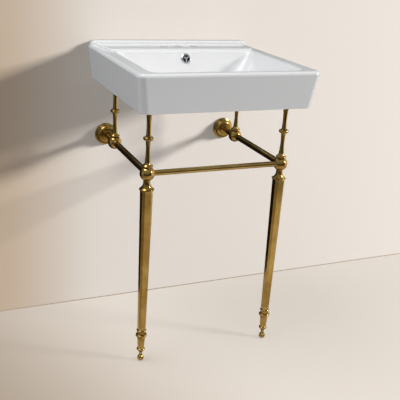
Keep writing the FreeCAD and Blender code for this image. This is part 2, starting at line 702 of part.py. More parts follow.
def make_basin():
    """The one-piece glazed basin, hung from the wall plane at rim height."""
    body = new_body("basin")
    place(body, y=WALL_Y, z="rim_height")
    apron(body)
    post_bosses(body)
    bowl_shell(body)
    duct_outside(body)
    bottom = bowl_inside(body)
    rim_roundings(body, bottom)
    tap_deck(body)
    basin_holes(body)
    overflow_hole(body)


def make_overflow_trim():
    """Round trim with three openings, pressed into the overflow hole."""
    body = new_body("overflow_trim")
    lean = value("90 - bowl_rear_slope")
    body.Placement = Placement(Vector(0, 0, 0), Rotation(Vector(1, 0, 0), lean))
    bind(body, "Placement.Rotation.Angle", "90 - bowl_rear_slope")
    place(body, y=f"{WALL_Y} - ({duct_face('overflow_drop', '0')})",
          z="rim_height - overflow_drop")
    sleeve = "overflow_hole_radius - trim_clearance"
    bore = f"{sleeve} - trim_sleeve_wall"
    half = new_sketch(body, "section", "XZ_Plane")
    corners = [("0", "0"), (bore, "0"), (bore, "-trim_sleeve_length"),
               (sleeve, "-trim_sleeve_length"), (sleeve, "0"), ("trim_radius", "0"),
               ("trim_radius", "trim_thickness / 3"), ("trim_opening_radius", "trim_thickness"),
               ("0", "trim_thickness")]
    outline(half, corners)
    turned(body, "disc", half)
    openings = new_sketch(body, "opening", "XY_Plane", "trim_thickness + cut_over")
    hub = "trim_spoke_width"
    spoke = "trim_spoke_width / 2"
    reach = f"{bore} - trim_opening_margin"
    low = f"{spoke} / cos(30deg) + {hub} / 2"
    corners = [("0", low),
               (f"({reach}) * cos(30deg) - {spoke} * sin(30deg)",
                f"({reach}) * sin(30deg) + {spoke} * cos(30deg)"),
               (f"-({reach}) * cos(30deg) + {spoke} * sin(30deg)",
                f"({reach}) * sin(30deg) + {spoke} * cos(30deg)")]
    outline(openings, corners, {1: (reach, "left")})
    cut = pocket(body, "opening_cut", openings, "trim_thickness + 2 * cut_over")
    pattern = body.newObject("PartDesign::PolarPattern", "openings")
    pattern.Originals = [cut]
    pattern.Axis = (next(f for f in body.Origin.OriginFeatures if f.Role == "Z_Axis"), [""])
    pattern.Angle = 360
    pattern.Occurrences = 3
    body.Tip = pattern


# ---------------------------------------------------------------- stand, upper part

def make_pad(name, x, y):
    """A rubber disc between a post and the basin."""
    disc = doc.addObject("Part::Cylinder", name)
    disc.Label = name
    bind(disc, "Radius", "pad_radius")
    bind(disc, "Height", "pad_thickness")
    place(disc, x, y, POST_TOP)
    NODES.append(disc)


def make_post(name, x, y):
    """A turned post with a base ring, a knob and a flared top."""
    body = new_body(name)
    place(body, x, y, POST_BASE)
    flare = "post_length - post_flare_height"
    flange = "post_length - post_flange_height"
    knob_low = "post_knob_height - post_knob_half"
    knob_high = "post_knob_height + post_knob_half"
    section = new_sketch(body, "section", "XZ_Plane")
    corners = [
        ("0", "0"),
        ("post_ring_root", "0"),
        ("post_ring_root", "post_ring_height"),
        ("post_base_hollow", "post_ring_height"),
        ("post_root_radius", "post_base_height"),
        ("post_knob_neck", f"{knob_low} - ring_cone"),
        ("post_knob_root", knob_low),
        ("post_knob_root", knob_high),
        ("post_knob_neck", f"{knob_high} + ring_cone"),
        ("post_shoulder_radius", flare),
        ("post_flange_radius", flange),
        ("post_flange_radius", "post_length"),
        ("0", "post_length"),
    ]
    lower = f"{knob_low} - ring_cone - post_base_height"
    upper = f"{flare} - {knob_high} - ring_cone"
    arcs = {
        1: (crest_radius("post_ring_height", "post_ring_radius - post_ring_root"), "left"),
        3: (flare_radius("post_base_hollow - post_root_radius",
                         "post_base_height - post_ring_height"), "right"),
        4: (crest_radius(lower, "(post_root_radius + post_knob_neck) / 2 - post_low_waist"),
            "right"),
        6: (crest_radius("2 * post_knob_half", "post_knob_radius - post_knob_root"), "left"),
        8: (crest_radius(upper,
                         "(post_knob_neck + post_shoulder_radius) / 2 - post_high_waist"),
            "right"),
        9: ("post_flare_radius", "right"),
    }
    outline(section, corners, arcs)
    turned(body, "turning", section)
    hole = new_sketch(body, "stud_hole_outline", "XY_Plane")
    circle(hole, "stud_radius + stud_clearance")
    pocket(body, "stud_hole", hole, "stud_in_post", backwards=True)


def make_hub(name, x, y, end, sign):
    """A ball hub: posts above, a leg below at the front, bars at the sides."""
    body = new_body(name)
    place(body, x, y, HUB_HEIGHT)
    collar = "sqrt(hub_radius^2 - hub_collar_radius^2)"
    section = new_sketch(body, "section", "XZ_Plane")
    if end == "front":
        corners = [("0", "-hub_collar_height"), ("hub_collar_radius", "-hub_collar_height"),
                   ("hub_collar_radius", f"-{collar}"), ("hub_collar_radius", collar),
                   ("hub_collar_radius", "hub_collar_height"), ("0", "hub_collar_height")]
        outline(section, corners, {2: ("hub_radius", "left")})
    else:
        corners = [("0", "-hub_radius"), ("hub_collar_radius", collar),
                   ("hub_collar_radius", "hub_collar_height"), ("0", "hub_collar_height")]
        outline(section, corners, {0: ("hub_radius", "left")})
    turned(body, "turning", section)
    grub = "grub_radius + grub_clearance"
    stud = new_sketch(body, "stud_hole_outline", "XY_Plane", "hub_collar_height")
    circle(stud, "stud_radius + stud_clearance")
    pocket(body, "stud_hole", stud, "stud_in_hub")
    if end == "front":
        side = new_sketch(body, "side_socket_outline", "XZ_Plane", "-socket_stop")
        circle(side, "side_bar_radius + bar_clearance")
        pocket(body, "side_socket", side, "hub_radius")
        cross = new_sketch(body, "front_socket_outline", "YZ_Plane", f"{-sign} * socket_stop")
        circle(cross, "front_bar_radius + bar_clearance")
        pocket(body, "front_socket", cross, "hub_radius", backwards=sign < 0)
        rod = new_sketch(body, "rod_hole_outline", "XY_Plane", "-hub_collar_height")
        circle(rod, "stud_radius + stud_clearance")
        pocket(body, "rod_hole", rod, "rod_in_hub", backwards=True)
        grubs = (("0", GRUB_REACH, "side_bar_radius"),
                 (f"{-sign} * {GRUB_REACH}", "0", "front_bar_radius"))
    else:
        through = new_sketch(body, "side_socket_outline", "XZ_Plane", "-2 * hub_radius")
        circle(through, "side_bar_radius + bar_clearance")
        pocket(body, "side_socket", through, "4 * hub_radius", backwards=True)
        grubs = (("0", "0", "side_bar_radius"),)
    for number, (grub_x, grub_y, bar) in enumerate(grubs, start=1):
        hole = new_sketch(body, f"grub_hole_{number}_outline", "XY_Plane",
                          "-2 * hub_radius")
        circle(hole, grub, grub_x, grub_y)
        pocket(body, f"grub_hole_{number}", hole, f"2 * hub_radius - {bar} / 2",
               backwards=True)


GRUB_REACH = "(socket_stop + grub_length)"


def make_group(name, pieces):
    """Identical pieces that share one node."""
    group = doc.addObject("Part::Compound", name)
    group.Label = name
    group.Links = pieces
    NODES.append(group)


def make_post_studs():
    """The threaded studs that join the posts to the hubs."""
    studs = []
    for name, x, y, end, sign in STATIONS:
        stud = doc.addObject("Part::Cylinder", f"stud_{name}")
        bind(stud, "Radius", "stud_radius")
        bind(stud, "Height", "stud_in_hub + stud_in_post")
        place(stud, x, y, f"{POST_BASE} - stud_in_hub")
        studs.append(stud)
    make_group("post_studs", studs)


def grub_places():
    """Where the lower end of each grub screw stands, below a bar."""
    below = f"{HUB_HEIGHT} - side_bar_radius - grub_length"
    for name, x, y, end, sign in STATIONS:
        if end == "front":
            yield x, f"{y} + {GRUB_REACH}", below
            yield (f"{x} - {sign} * {GRUB_REACH}", y,
                   f"{HUB_HEIGHT} - front_bar_radius - grub_length")
        else:
            yield x, y, below
    for side, sign in SIDES:
        yield f"{sign} * {POST_X}", f"{WALL_Y} - {GRUB_IN_BRACKET}", below


GRUB_IN_BRACKET = "(plate_thickness + bracket_socket_length) / 2"


def make_set_screws():
    """The grub screws that hold the bars, each with a hexagon socket."""
    screws = []
    for number, (x, y, z) in enumerate(grub_places(), start=1):
        shank = doc.addObject("Part::Cylinder", f"grub_shank_{number}")
        bind(shank, "Radius", "grub_radius")
        bind(shank, "Height", "grub_length")
        place(shank, x, y, z)
        key = doc.addObject("Part::Prism", f"grub_key_{number}")
        key.Polygon = 6
        bind(key, "Circumradius", "grub_socket_radius")
        bind(key, "Height", "grub_socket_depth + cut_over")
        place(key, x, y, f"{z} - cut_over")
        screw = doc.addObject("Part::Cut", f"grub_{number}")
        screw.Base = shank
        screw.Tool = key
        screws.append(screw)
    make_group("set_screws", screws)


# ---------------------------------------------------------------- bars and wall

def tube(sketch, radius):
    """The section of a bar."""
    circle(sketch, radius)
    circle(sketch, f"{radius} - bar_wall")
    return sketch


def make_side_bar(side, sign):
    """A tube from the front hub through the rear hub to the wall bracket."""
    body = new_body(f"side_bar_{side}")
    place(body, f"{sign} * {POST_X}", f"{FRONT_Y} + socket_stop", HUB_HEIGHT)
    section = tube(new_sketch(body, "section", "XZ_Plane"), "side_bar_radius")
    pad(body, "bar", section, f"{FRONT_SETBACK} - socket_stop - plate_thickness",
        backwards=True)


def make_front_bar():
    """A tube between the two front hubs."""
    body = new_body("front_bar")
    place(body, "0", FRONT_Y, HUB_HEIGHT)
    section = tube(new_sketch(body, "section", "YZ_Plane"), "front_bar_radius")
    pad(body, "bar", section, f"2 * ({POST_X} - socket_stop)", middle=True)


def make_wall_bracket(side, sign):
    """A screwed plate with a socket for the side bar."""
    body = new_body(f"wall_bracket_{side}")
    place(body, f"{sign} * {POST_X}", WALL_Y, HUB_HEIGHT)
    socket = "side_bar_radius + bar_clearance"
    section = new_sketch(body, "section", "XY_Plane")
    corners = [("0", "-plate_thickness"), (socket, "-plate_thickness"),
               (socket, "-bracket_socket_length"),
               ("bracket_socket_radius", "-bracket_socket_length"),
               ("bracket_socket_radius", "-plate_thickness"),
               ("plate_radius", "-plate_thickness"), ("plate_radius", "0"), ("0", "0")]
    outline(section, corners)
    turned(body, "turning", section)
    grub = new_sketch(body, "grub_hole_outline", "XY_Plane", "-2 * bracket_socket_radius")
    circle(grub, "grub_radius + grub_clearance", "0", f"-{GRUB_IN_BRACKET}")
    pocket(body, "grub_hole", grub, "2 * bracket_socket_radius - side_bar_radius / 2",
           backwards=True)
    hole = new_sketch(body, "screw_hole_outline", "XZ_Plane", "-cut_over")
    circle(hole, "bracket_screw_radius", "0", "bracket_screw_circle / 2")
    cut = pocket(body, "screw_hole", hole, "plate_thickness + 2 * cut_over",
                 backwards=True)
    pattern = body.newObject("PartDesign::PolarPattern", "screw_holes")
    pattern.Originals = [cut]
    pattern.Axis = (next(f for f in body.Origin.OriginFeatures if f.Role == "Y_Axis"), [""])
    pattern.Angle = 360
    bind(pattern, "Occurrences", "bracket_screw_count")
    body.Tip = pattern


def make_wall_flange(side, sign):
    """A turned cover flange over the bracket, loose on the bar."""
    body = new_body(f"wall_flange_{side}")
    place(body, f"{sign} * {POST_X}", WALL_Y, HUB_HEIGHT)
    bar = "side_bar_radius + flange_bar_gap"
    step = "flange_radius - flange_step"
    second = "flange_radius - 2 * flange_step"
    rim = "flange_rim"
    first_top = "flange_rim + flange_step_height"
    second_top = "flange_rim + 2 * flange_step_height"
    seat = "plate_radius + flange_plate_gap"
    ledge = "plate_radius - flange_cone"
    inner = "bracket_socket_radius + flange_wall / 2"
    section = new_sketch(body, "section", "XY_Plane")
    corners = [
        (seat, "0"), (seat, "-plate_thickness"), (ledge, "-plate_thickness"),
        (ledge, f"-({rim} + flange_step_height)"),
        (inner, f"-(flange_collar_start - flange_wall)"),
        (inner, f"-(flange_collar_start)"),
        (bar, f"-(flange_length - 2 * flange_wall)"),
        (bar, "-flange_length"),
        (f"{bar} + flange_wall", "-flange_length"),
        ("flange_collar_radius", f"-(flange_length - flange_wall)"),
        ("flange_collar_radius", "-flange_collar_start"),
        (second, f"-({second_top})"),
        (second, f"-({first_top})"),
        (step, f"-({first_top} - flange_cone)"),
        (step, f"-({rim} + flange_cone)"),
        ("flange_radius", f"-({rim})"),
        ("flange_radius", "0"),
    ]
    across = f"({second}) - flange_collar_radius"
    along = f"({second_top}) - flange_collar_start"
    chord = f"sqrt(({across})^2 + ({along})^2)"
    outline(section, corners, {10: (crest_radius(chord, "flange_hollow"), "left")})
    turned(body, "turning", section)


# ---------------------------------------------------------------- legs and feet

def octagon(sketch, width, chamfer):
    """A square with cut corners."""
    half = f"{width} / 2"
    short = f"{width} / 2 - {chamfer}"
    corners = [(short, f"-({half})"), (half, f"-({short})"), (half, short), (short, half),
               (f"-({short})", half), (f"-({half})", short),
               (f"-({half})", f"-({short})"), (f"-({short})", f"-({half})")]
    return outline(sketch, corners)


def make_leg(side, sign):
    """A tapered leg, a square tube with cut corners, bored for its rod."""
    body = new_body(f"leg_{side}")
    place(body, f"{sign} * {POST_X}", FRONT_Y, "leg_bottom_height")
    length = f"{LEG_TOP} - leg_bottom_height"
    low = octagon(new_sketch(body, "foot_end", "XY_Plane"),
                  "leg_bottom_width", "leg_chamfer_bottom")
    high = octagon(new_sketch(body, "top_end", "XY_Plane", length),
                   "leg_top_width", "leg_chamfer_top")
    loft(body, "AdditiveLoft", "shaft", low, high)
    bore = new_sketch(body, "bore_outline", "XY_Plane")
    circle(bore, "leg_bore_radius")
    pocket(body, "bore", bore, length, backwards=True)


def make_leg_cap(side, sign):
    """The turned cap between leg and hub, with a ring and a neck."""
    body = new_body(f"leg_cap_{side}")
    place(body, f"{sign} * {POST_X}", FRONT_Y, LEG_TOP)
    spigot = "leg_bore_radius - spigot_clearance"
    hole = "stud_radius + stud_clearance"
    neck = "cap_height - cap_neck_height"
    section = new_sketch(body, "section", "XZ_Plane")
    corners = [
        (hole, "-cap_spigot_length"), (spigot, "-cap_spigot_length"), (spigot, "0"),
        ("cap_ring_root", "0"), ("cap_ring_root", "cap_ring_height"),
        ("cap_hollow_radius", "cap_ring_height"), ("cap_neck_radius", neck),
        ("cap_neck_radius", "cap_height"), (hole, "cap_height"),
    ]
    arcs = {3: (crest_radius("cap_ring_height", "cap_ring_radius - cap_ring_root"), "left"),
            5: (flare_radius("cap_hollow_radius - cap_neck_radius",
                             f"{neck} - cap_ring_height"), "right")}
    outline(section, corners, arcs)
    turned(body, "turning", section)


def make_ferrule(side, sign):
    """The ringed ferrule under a leg, bored for the leg rod and the foot."""
    body = new_body(f"ferrule_{side}")
    place(body, f"{sign} * {POST_X}", FRONT_Y, "leg_bottom_height")
    a_low = "ring_a_height"
    b_high = f"{a_low} + ring_neck_height"
    b_low = f"{b_high} + ring_b_height"
    body_high = f"{b_low} + groove_height"
    c_low = "ferrule_height - ferrule_tip_height"
    c_high = f"{c_low} - ring_c_height"
    spigot = "leg_bore_radius - spigot_clearance"
    section = new_sketch(body, "section", "XZ_Plane")
    corners = [
        ("0", "-ferrule_height"),
        ("ferrule_tip_radius", "-ferrule_height"),
        ("ring_c_root", f"-({c_low})"),
        ("ring_c_root", f"-({c_high})"),
        ("ferrule_body_bottom", f"-({c_high} - ring_cone)"),
        ("ferrule_body_top", f"-({body_high})"),
        ("groove_radius", f"-({body_high} - groove_lower_cone)"),
        ("groove_radius", f"-({b_low} + groove_upper_cone)"),
        ("ring_b_root", f"-({b_low})"),
        ("ring_b_root", f"-({b_high})"),
        ("ring_neck_radius", f"-({b_high} - ring_cone)"),
        ("ring_neck_radius", f"-({a_low} + ring_cone)"),
        ("ring_a_root", f"-({a_low})"),
        ("ring_a_root", "0"),
        (spigot, "0"),
        (spigot, "ferrule_spigot_length"),
        ("0", "ferrule_spigot_length"),
    ]
    arcs = {
        2: (crest_radius("ring_c_height", "ring_c_radius - ring_c_root"), "left"),
        8: (crest_radius("ring_b_height", "ring_b_radius - ring_b_root"), "left"),
        12: (crest_radius("ring_a_height", "ring_a_radius - ring_a_root"), "left"),
    }
    outline(section, corners, arcs)
    turned(body, "turning", section)
    rod = new_sketch(body, "rod_hole_outline", "XY_Plane", "ferrule_spigot_length")
    circle(rod, "stud_radius + stud_clearance")
    pocket(body, "rod_hole", rod, "rod_in_ferrule")
    foot = new_sketch(body, "foot_hole_outline", "XY_Plane", "-ferrule_height")
    circle(foot, "foot_stem_radius + foot_clearance")
    pocket(body, "foot_hole", foot,
           "foot_stem_top + foot_travel_in - leg_bottom_height + ferrule_height",
           backwards=True)


def make_leg_rod(side, sign):
    """The threaded rod that ties ferrule, leg, cap and hub together."""
    rod = doc.addObject("Part::Cylinder", f"leg_rod_{side}")
    rod.Label = f"leg_rod_{side}"
    start = "leg_bottom_height + ferrule_spigot_length - rod_in_ferrule"
    end = f"{HUB_HEIGHT} - hub_collar_height + rod_in_hub"
    bind(rod, "Radius", "stud_radius")
    bind(rod, "Height", f"{end} - ({start})")
    place(rod, f"{sign} * {POST_X}", FRONT_Y, start)
    NODES.append(rod)


def make_foot(side, sign):
    """A ball foot on a stem that screws into the ferrule."""
    body = new_body(f"foot_{side}")
    place(body, f"{sign} * {POST_X}", FRONT_Y, "0")
    flat = "sqrt(foot_ball_radius^2 - foot_ball_height^2)"
    top = "foot_ball_height + sqrt(foot_ball_radius^2 - foot_stem_radius^2)"
    section = new_sketch(body, "section", "XZ_Plane")
    corners = [("0", "0"), (flat, "0"), ("foot_stem_radius", top),
               ("foot_stem_radius", "foot_stem_top"), ("0", "foot_stem_top")]
    outline(section, corners, {1: ("foot_ball_radius", "left")})
    turned(body, "turning", section)


# ---------------------------------------------------------------- assembly

def build():
    """Make every sub-part."""
    make_basin()
    make_overflow_trim()
    for name, x, y, end, sign in STATIONS:
        make_pad(f"pad_{name}", x, y)
        make_post(f"post_{name}", x, y)
        make_hub(f"hub_{name}", x, y, end, sign)
    make_post_studs()
    make_set_screws()
    make_front_bar()
    for side, sign in SIDES:
        make_side_bar(side, sign)
        make_wall_bracket(side, sign)
        make_wall_flange(side, sign)
        make_leg(side, sign)
        make_leg_cap(side, sign)
        make_ferrule(side, sign)
        make_leg_rod(side, sign)
        make_foot(side, sign)


def check():
    """Stop if any object failed or any sub-part has a bad shape."""
    doc.recompute()
    bad = [f"{thing.Label}: {state}" for thing in doc.Objects for state in thing.State
           if state in ("Invalid", "Error")]
    for node in NODES:
        shape = node.Shape
        if shape.isNull() or not shape.isValid() or shape.Volume <= 0:
            bad.append(f"{node.Label}: bad shape")
    if bad:
        raise RuntimeError("; ".join(bad))


def write():
    """Write each sub-part to its own file."""
    os.makedirs("parts", exist_ok=True)
    for node in NODES:
        node.Shape.exportStep(f"parts/{node.Label}.step")
        print(f"{node.Label}: {len(node.Shape.Solids)} solid, {node.Shape.Volume / 1000:.1f} cm3")


build()
check()
write()
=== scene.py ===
"""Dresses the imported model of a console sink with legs, and lights it for one picture.

Metres, in the model's own frame: +Z up, the wall at +Y, the user in front at -Y, the
floor at zero.
"""
import logging
import math
from dataclasses import dataclass, field
from enum import Enum
from typing import Any, Callable, Optional, Sequence, Union

import bmesh
import bpy
from mathutils import Matrix, Vector


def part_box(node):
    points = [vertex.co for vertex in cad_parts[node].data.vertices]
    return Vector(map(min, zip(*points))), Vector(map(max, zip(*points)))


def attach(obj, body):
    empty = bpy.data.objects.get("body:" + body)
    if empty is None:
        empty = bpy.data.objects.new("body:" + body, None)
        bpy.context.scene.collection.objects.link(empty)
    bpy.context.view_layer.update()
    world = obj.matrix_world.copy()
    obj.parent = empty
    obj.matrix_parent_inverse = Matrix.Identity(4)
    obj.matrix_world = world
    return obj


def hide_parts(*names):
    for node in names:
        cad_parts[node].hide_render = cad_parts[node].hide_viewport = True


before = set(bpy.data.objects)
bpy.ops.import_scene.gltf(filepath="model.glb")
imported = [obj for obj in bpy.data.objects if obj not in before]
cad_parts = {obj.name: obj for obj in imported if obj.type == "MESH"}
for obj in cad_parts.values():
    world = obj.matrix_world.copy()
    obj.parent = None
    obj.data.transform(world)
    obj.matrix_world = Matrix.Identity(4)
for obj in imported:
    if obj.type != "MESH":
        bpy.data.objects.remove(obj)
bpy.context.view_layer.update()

log = logging.getLogger("console_sink")

Number = Union[int, float]
Colour = tuple[float, float, float]
NodeTree = bpy.types.NodeTree

STAND = "stand"
SIDES = {"left": -1, "right": 1}

WALL_Y = 0.245
RIM_Z = 0.884
BOWL_REAR_Y = 0.115
BOWL_REAR_LEAN = math.tan(math.radians(23))
APRON_FOOT_Z = 0.779

JOIN_DISTANCE = 2e-6
SHARP_ANGLE = 30.0
BEVEL_SEGMENTS = 2
FACE_WEIGHT = 60
FULLY_EXPOSED = math.radians(35.0)


# ---- shader maths


class Wire:
    """An output socket that takes part in Python arithmetic."""

    def __init__(self, tree: NodeTree, socket: bpy.types.NodeSocket) -> None:
        """Wrap one output socket of a tree."""
        self.tree = tree
        self.socket = socket

    def _maths(self, operation: str, *values: Any) -> "Wire":
        """Add one Math node on the given values."""
        return add_node(self.tree, "ShaderNodeMath", {"operation": operation},
                        dict(enumerate(values)))

    def __add__(self, other: Any) -> "Wire":
        """Sum."""
        return self._maths("ADD", self, other)

    def __radd__(self, other: Any) -> "Wire":
        """Sum, with the wire on the right."""
        return self._maths("ADD", other, self)

    def __sub__(self, other: Any) -> "Wire":
        """Difference."""
        return self._maths("SUBTRACT", self, other)

    def __rsub__(self, other: Any) -> "Wire":
        """Difference, with the wire on the right."""
        return self._maths("SUBTRACT", other, self)

    def __mul__(self, other: Any) -> "Wire":
        """Product."""
        return self._maths("MULTIPLY", self, other)

    def __rmul__(self, other: Any) -> "Wire":
        """Product, with the wire on the right."""
        return self._maths("MULTIPLY", other, self)

    def __pow__(self, other: Any) -> "Wire":
        """Power."""
        return self._maths("POWER", self, other)

    def __lt__(self, other: Any) -> "Wire":
        """One where the wire is less than the other value."""
        return self._maths("LESS_THAN", self, other)

    def __gt__(self, other: Any) -> "Wire":
        """One where the wire is greater than the other value."""
        return self._maths("GREATER_THAN", self, other)

    def largest(self, other: Any) -> "Wire":
        """The larger of two values."""
        return self._maths("MAXIMUM", self, other)

    def ramp(self, low: Number, high: Number) -> "Wire":
        """A smooth step from 0 at low to 1 at high."""
        inputs = {"Value": self, "From Min": low, "From Max": high}
        return add_node(self.tree, "ShaderNodeMapRange",
                        {"interpolation_type": "SMOOTHSTEP"}, inputs)


def add_node(tree: NodeTree, kind: str, settings: dict[str, Any],
             inputs: dict[Any, Any], output: Union[int, str] = 0) -> Wire:
    """Add any node to a tree.

    Args:
        tree: The tree that gets the node.
        kind: The node's type name.
        settings: The node's own properties, set first.
        inputs: Socket name or index to a number, a colour, a vector or a wire.
        output: Name or index of the output to return.

    Returns:
        The chosen output.
    """
    node = tree.nodes.new(kind)
    for name, setting in settings.items():
        setattr(node, name, setting)
    for key, value in inputs.items():
        socket = node.inputs[key]
        if isinstance(value, Wire):
            tree.links.new(value.socket, socket)
        else:
            socket.default_value = value
    return Wire(tree, node.outputs[output] if len(node.outputs) else None)


@dataclass
class NodeSheet:
    """A node tree that is being filled."""

    tree: NodeTree

    def node(self, kind: str, settings: Optional[dict[str, Any]] = None,
             inputs: Optional[dict[Any, Any]] = None,
             output: Union[int, str] = 0) -> Wire:
        """Add a node; see add_node."""
        return add_node(self.tree, kind, settings or {}, inputs or {}, output)


@dataclass
class Sheet(NodeSheet):
    """The node tree of one material."""

    def place(self) -> Wire:
        """The object's own coordinates, in metres."""
        return self.node("ShaderNodeTexCoord", output="Object")

    def split(self, vector: Wire) -> tuple[Wire, Wire, Wire]:
        """The three parts of a vector.

        Args:
            vector: The vector to take apart.

        Returns:
            Its X, Y and Z.
        """
        first = self.node("ShaderNodeSeparateXYZ", inputs={0: vector})
        outputs = first.socket.node.outputs
        return tuple(Wire(self.tree, outputs[i]) for i in range(3))

    def stretch(self, vector: Wire, scale: Sequence[float]) -> Wire:
        """A vector scaled along each axis."""
        return self.node("ShaderNodeVectorMath", {"operation": "MULTIPLY"},
                         {0: vector, 1: tuple(scale)})

    def noise(self, vector: Wire, scale: Number, detail: Number = 2,
              roughness: Number = 0.5) -> Wire:
        """Smooth noise from 0 to 1.

        Args:
            vector: Where the noise is read.
            scale: Features per unit of the vector.
            detail: How many finer layers are added.
            roughness: How strong the finer layers are.

        Returns:
            The noise.
        """
        return self.node("ShaderNodeTexNoise", {},
                         {"Vector": vector, "Scale": scale, "Detail": detail,
                          "Roughness": roughness}, "Fac")

    def blend(self, share: Any, first: Any, second: Any) -> Wire:
        """Two colours, mixed by a share from 0 to 1."""
        values = {0: share, 6: padded(first), 7: padded(second)}
        return self.node("ShaderNodeMix", {"data_type": "RGBA"}, values, 2)

    def bump(self, height: Wire, depth: Number) -> Wire:
        """A normal from a height of 0 to 1 and the relief's depth in metres."""
        return self.node("ShaderNodeBump", {},
                         {"Height": height, "Distance": depth, "Strength": 1.0}, "Normal")

    def exposed(self) -> Wire:
        """How far a point stands out (to 1) or lies in a crease (to -1)."""
        return self.node("ShaderNodeAttribute", {"attribute_name": "exposed"},
                         output="Fac")


def padded(colour: Any) -> Any:
    """A colour with its alpha, or the wire as it is."""
    return colour if isinstance(colour, Wire) else (*colour, 1.0)


def behind_bowl(y: Wire, z: Wire) -> Wire:
    """How far a point lies behind the face of the bowl's leaning rear wall."""
    return y - (BOWL_REAR_Y - (RIM_Z - z) * BOWL_REAR_LEAN)


def linear(code: str) -> Colour:
    """The linear colour of an sRGB code.

    Args:
        code: Red, green and blue as six hexadecimal digits.

    Returns:
        Linear red, green and blue, from 0 to 1.
    """
    parts = [int(code[i:i + 2], 16) / 255 for i in (0, 2, 4)]
    return tuple(p / 12.92 if p <= 0.04045 else ((p + 0.055) / 1.055) ** 2.4
                 for p in parts)


# ---- finishes


@dataclass(frozen=True)
class Finish:
    """A material made of nodes, built once and shared."""

    name: str

    def material(self) -> bpy.types.Material:
        """The finish's material.

        Returns:
            The material, made on first use and shared from then on.
        """
        found = bpy.data.materials.get(self.name)
        if found:
            return found
        made = bpy.data.materials.new(self.name)
        made.use_nodes = True
        made.node_tree.nodes.clear()
        sheet = Sheet(made.node_tree)
        surface = self.surface(sheet)
        sheet.node("ShaderNodeOutputMaterial", {}, {"Surface": surface})
        return made

    def surface(self, sheet: Sheet) -> Wire:
        """Build the shader; each finish has its own.

        Args:
            sheet: The material's sheet.

        Returns:
            The surface shader.
        """
        raise NotImplementedError

    @staticmethod
    def principled(sheet: Sheet, inputs: dict[str, Any]) -> Wire:
        """The main shader with the given sockets."""
        return sheet.node("ShaderNodeBsdfPrincipled", {}, inputs, "BSDF")


@dataclass(frozen=True)
class GlazedCeramic(Finish):
    """White glaze over fired clay; the clay is bare where the piece stood in the kiln."""

    glaze: Colour = linear("f0efec")
    cool_glaze: Colour = linear("e8e9ea")
    thin_glaze: Colour = linear("dfdad0")
    clay: Colour = linear("d5cab8")
    # Painted shade: near-black colour for the inside of the overflow duct.
    duct_shade: Colour = linear("1d1814")
    foot_z: float = APRON_FOOT_Z + 0.0003
    foot_edge: float = 0.001
    edge_wander: float = 0.0012
    back_start: float = 0.0006
    back_end: float = 0.0002
    duct_half: float = 0.0144
    duct_start: float = 0.0075
    duct_end: float = 0.036
    duct_top: float = RIM_Z - 0.010
    cloud_scale: float = 5
    wave_scale: float = 9
    edge_scale: float = 60
    grain_scale: float = 260
    peel_scale: float = 420
    pit_scale: float = 900
    glaze_roughness: float = 0.07
    clay_roughness: float = 0.62
    coat: float = 0.5
    relief_depth: float = 0.0005

    def bare(self, sheet: Sheet, place: Wire, duct: Wire) -> Wire:
        """Where the clay shows: on the apron's foot, at the back and in the duct.

        Args:
            sheet: The material's sheet.
            place: The point's coordinates.
            duct: One inside the duct.

        Returns:
            One on bare clay, zero on glaze.
        """
        _, y, z = sheet.split(place)
        facing = sheet.split(sheet.node("ShaderNodeNewGeometry", output="Normal"))
        edge = sheet.noise(place, self.edge_scale, 3) * self.edge_wander
        down = (facing[2] * -1.0).ramp(0.75, 0.9)
        foot = down * (1.0 - (z + edge).ramp(self.foot_z, self.foot_z + self.foot_edge))
        back = y.ramp(WALL_Y - self.back_start, WALL_Y - self.back_end)
        return foot.largest(back).largest(duct)

    def duct(self, sheet: Sheet, place: Wire) -> Wire:
        """The overflow's duct, behind the bowl's rear wall.

        Args:
            sheet: The material's sheet.
            place: The point's coordinates.

        Returns:
            One inside the duct, zero elsewhere.
        """
        x, y, z = sheet.split(place)
        behind = behind_bowl(y, z)
        return ((behind > self.duct_start) * (behind < self.duct_end)
                * (x < self.duct_half) * (x > -self.duct_half) * (z < self.duct_top))

    def surface(self, sheet: Sheet) -> Wire:
        """Glaze with soft waves and orange peel, and matt clay at back, foot and duct; the
        duct's inside is painted near-black as shade.

        Args:
            sheet: The material's sheet.

        Returns:
            The surface shader.
        """
        place = sheet.place()
        duct = self.duct(sheet, place)
        bare = self.bare(sheet, place, duct)
        glazed = 1.0 - bare
        grain = sheet.noise(place, self.grain_scale, 5, 0.65)
        wave = sheet.noise(place, self.wave_scale, 2)
        peel = sheet.noise(place, self.peel_scale, 2)
        pits = sheet.noise(place, self.pit_scale, 1).ramp(0.74, 0.80)
        cloud = sheet.noise(place, self.cloud_scale, 3)
        white = sheet.blend(cloud.ramp(0.35, 0.7), self.glaze, self.cool_glaze)
        white = sheet.blend(sheet.exposed().ramp(0.3, 1.0) * 0.35, white, self.thin_glaze)
        colour = sheet.blend(bare * (0.85 + grain * 0.15), white, self.clay)
        # Painted shade: the inside of the overflow duct is coloured near-black where shade
        # falls.
        colour = sheet.blend(duct * (0.8 + grain * 0.2), colour, self.duct_shade)
        rough = (glazed * (self.glaze_roughness + cloud * 0.05)
                 + bare * (self.clay_roughness + grain * 0.2))
        relief = wave * 0.55 + peel * 0.035 - pits * 0.03 + grain * bare * 0.25
        return self.principled(sheet, {
            "Base Color": colour, "Roughness": rough, "Coat Weight": glazed * self.coat,
            "Coat Roughness": 0.03, "IOR": 1.5,
            "Normal": sheet.bump(relief, self.relief_depth)})


class Grain(Enum):
    """The way in which a metal piece was worked: noise scale along X, Y and Z."""

    TURNED = (9.0, 9.0, 1500.0)
    DRAWN_X = (7.0, 900.0, 900.0)
    DRAWN_Y = (900.0, 7.0, 900.0)
    DRAWN_Z = (900.0, 900.0, 7.0)
    TURNED_Y = (9.0, 1500.0, 9.0)


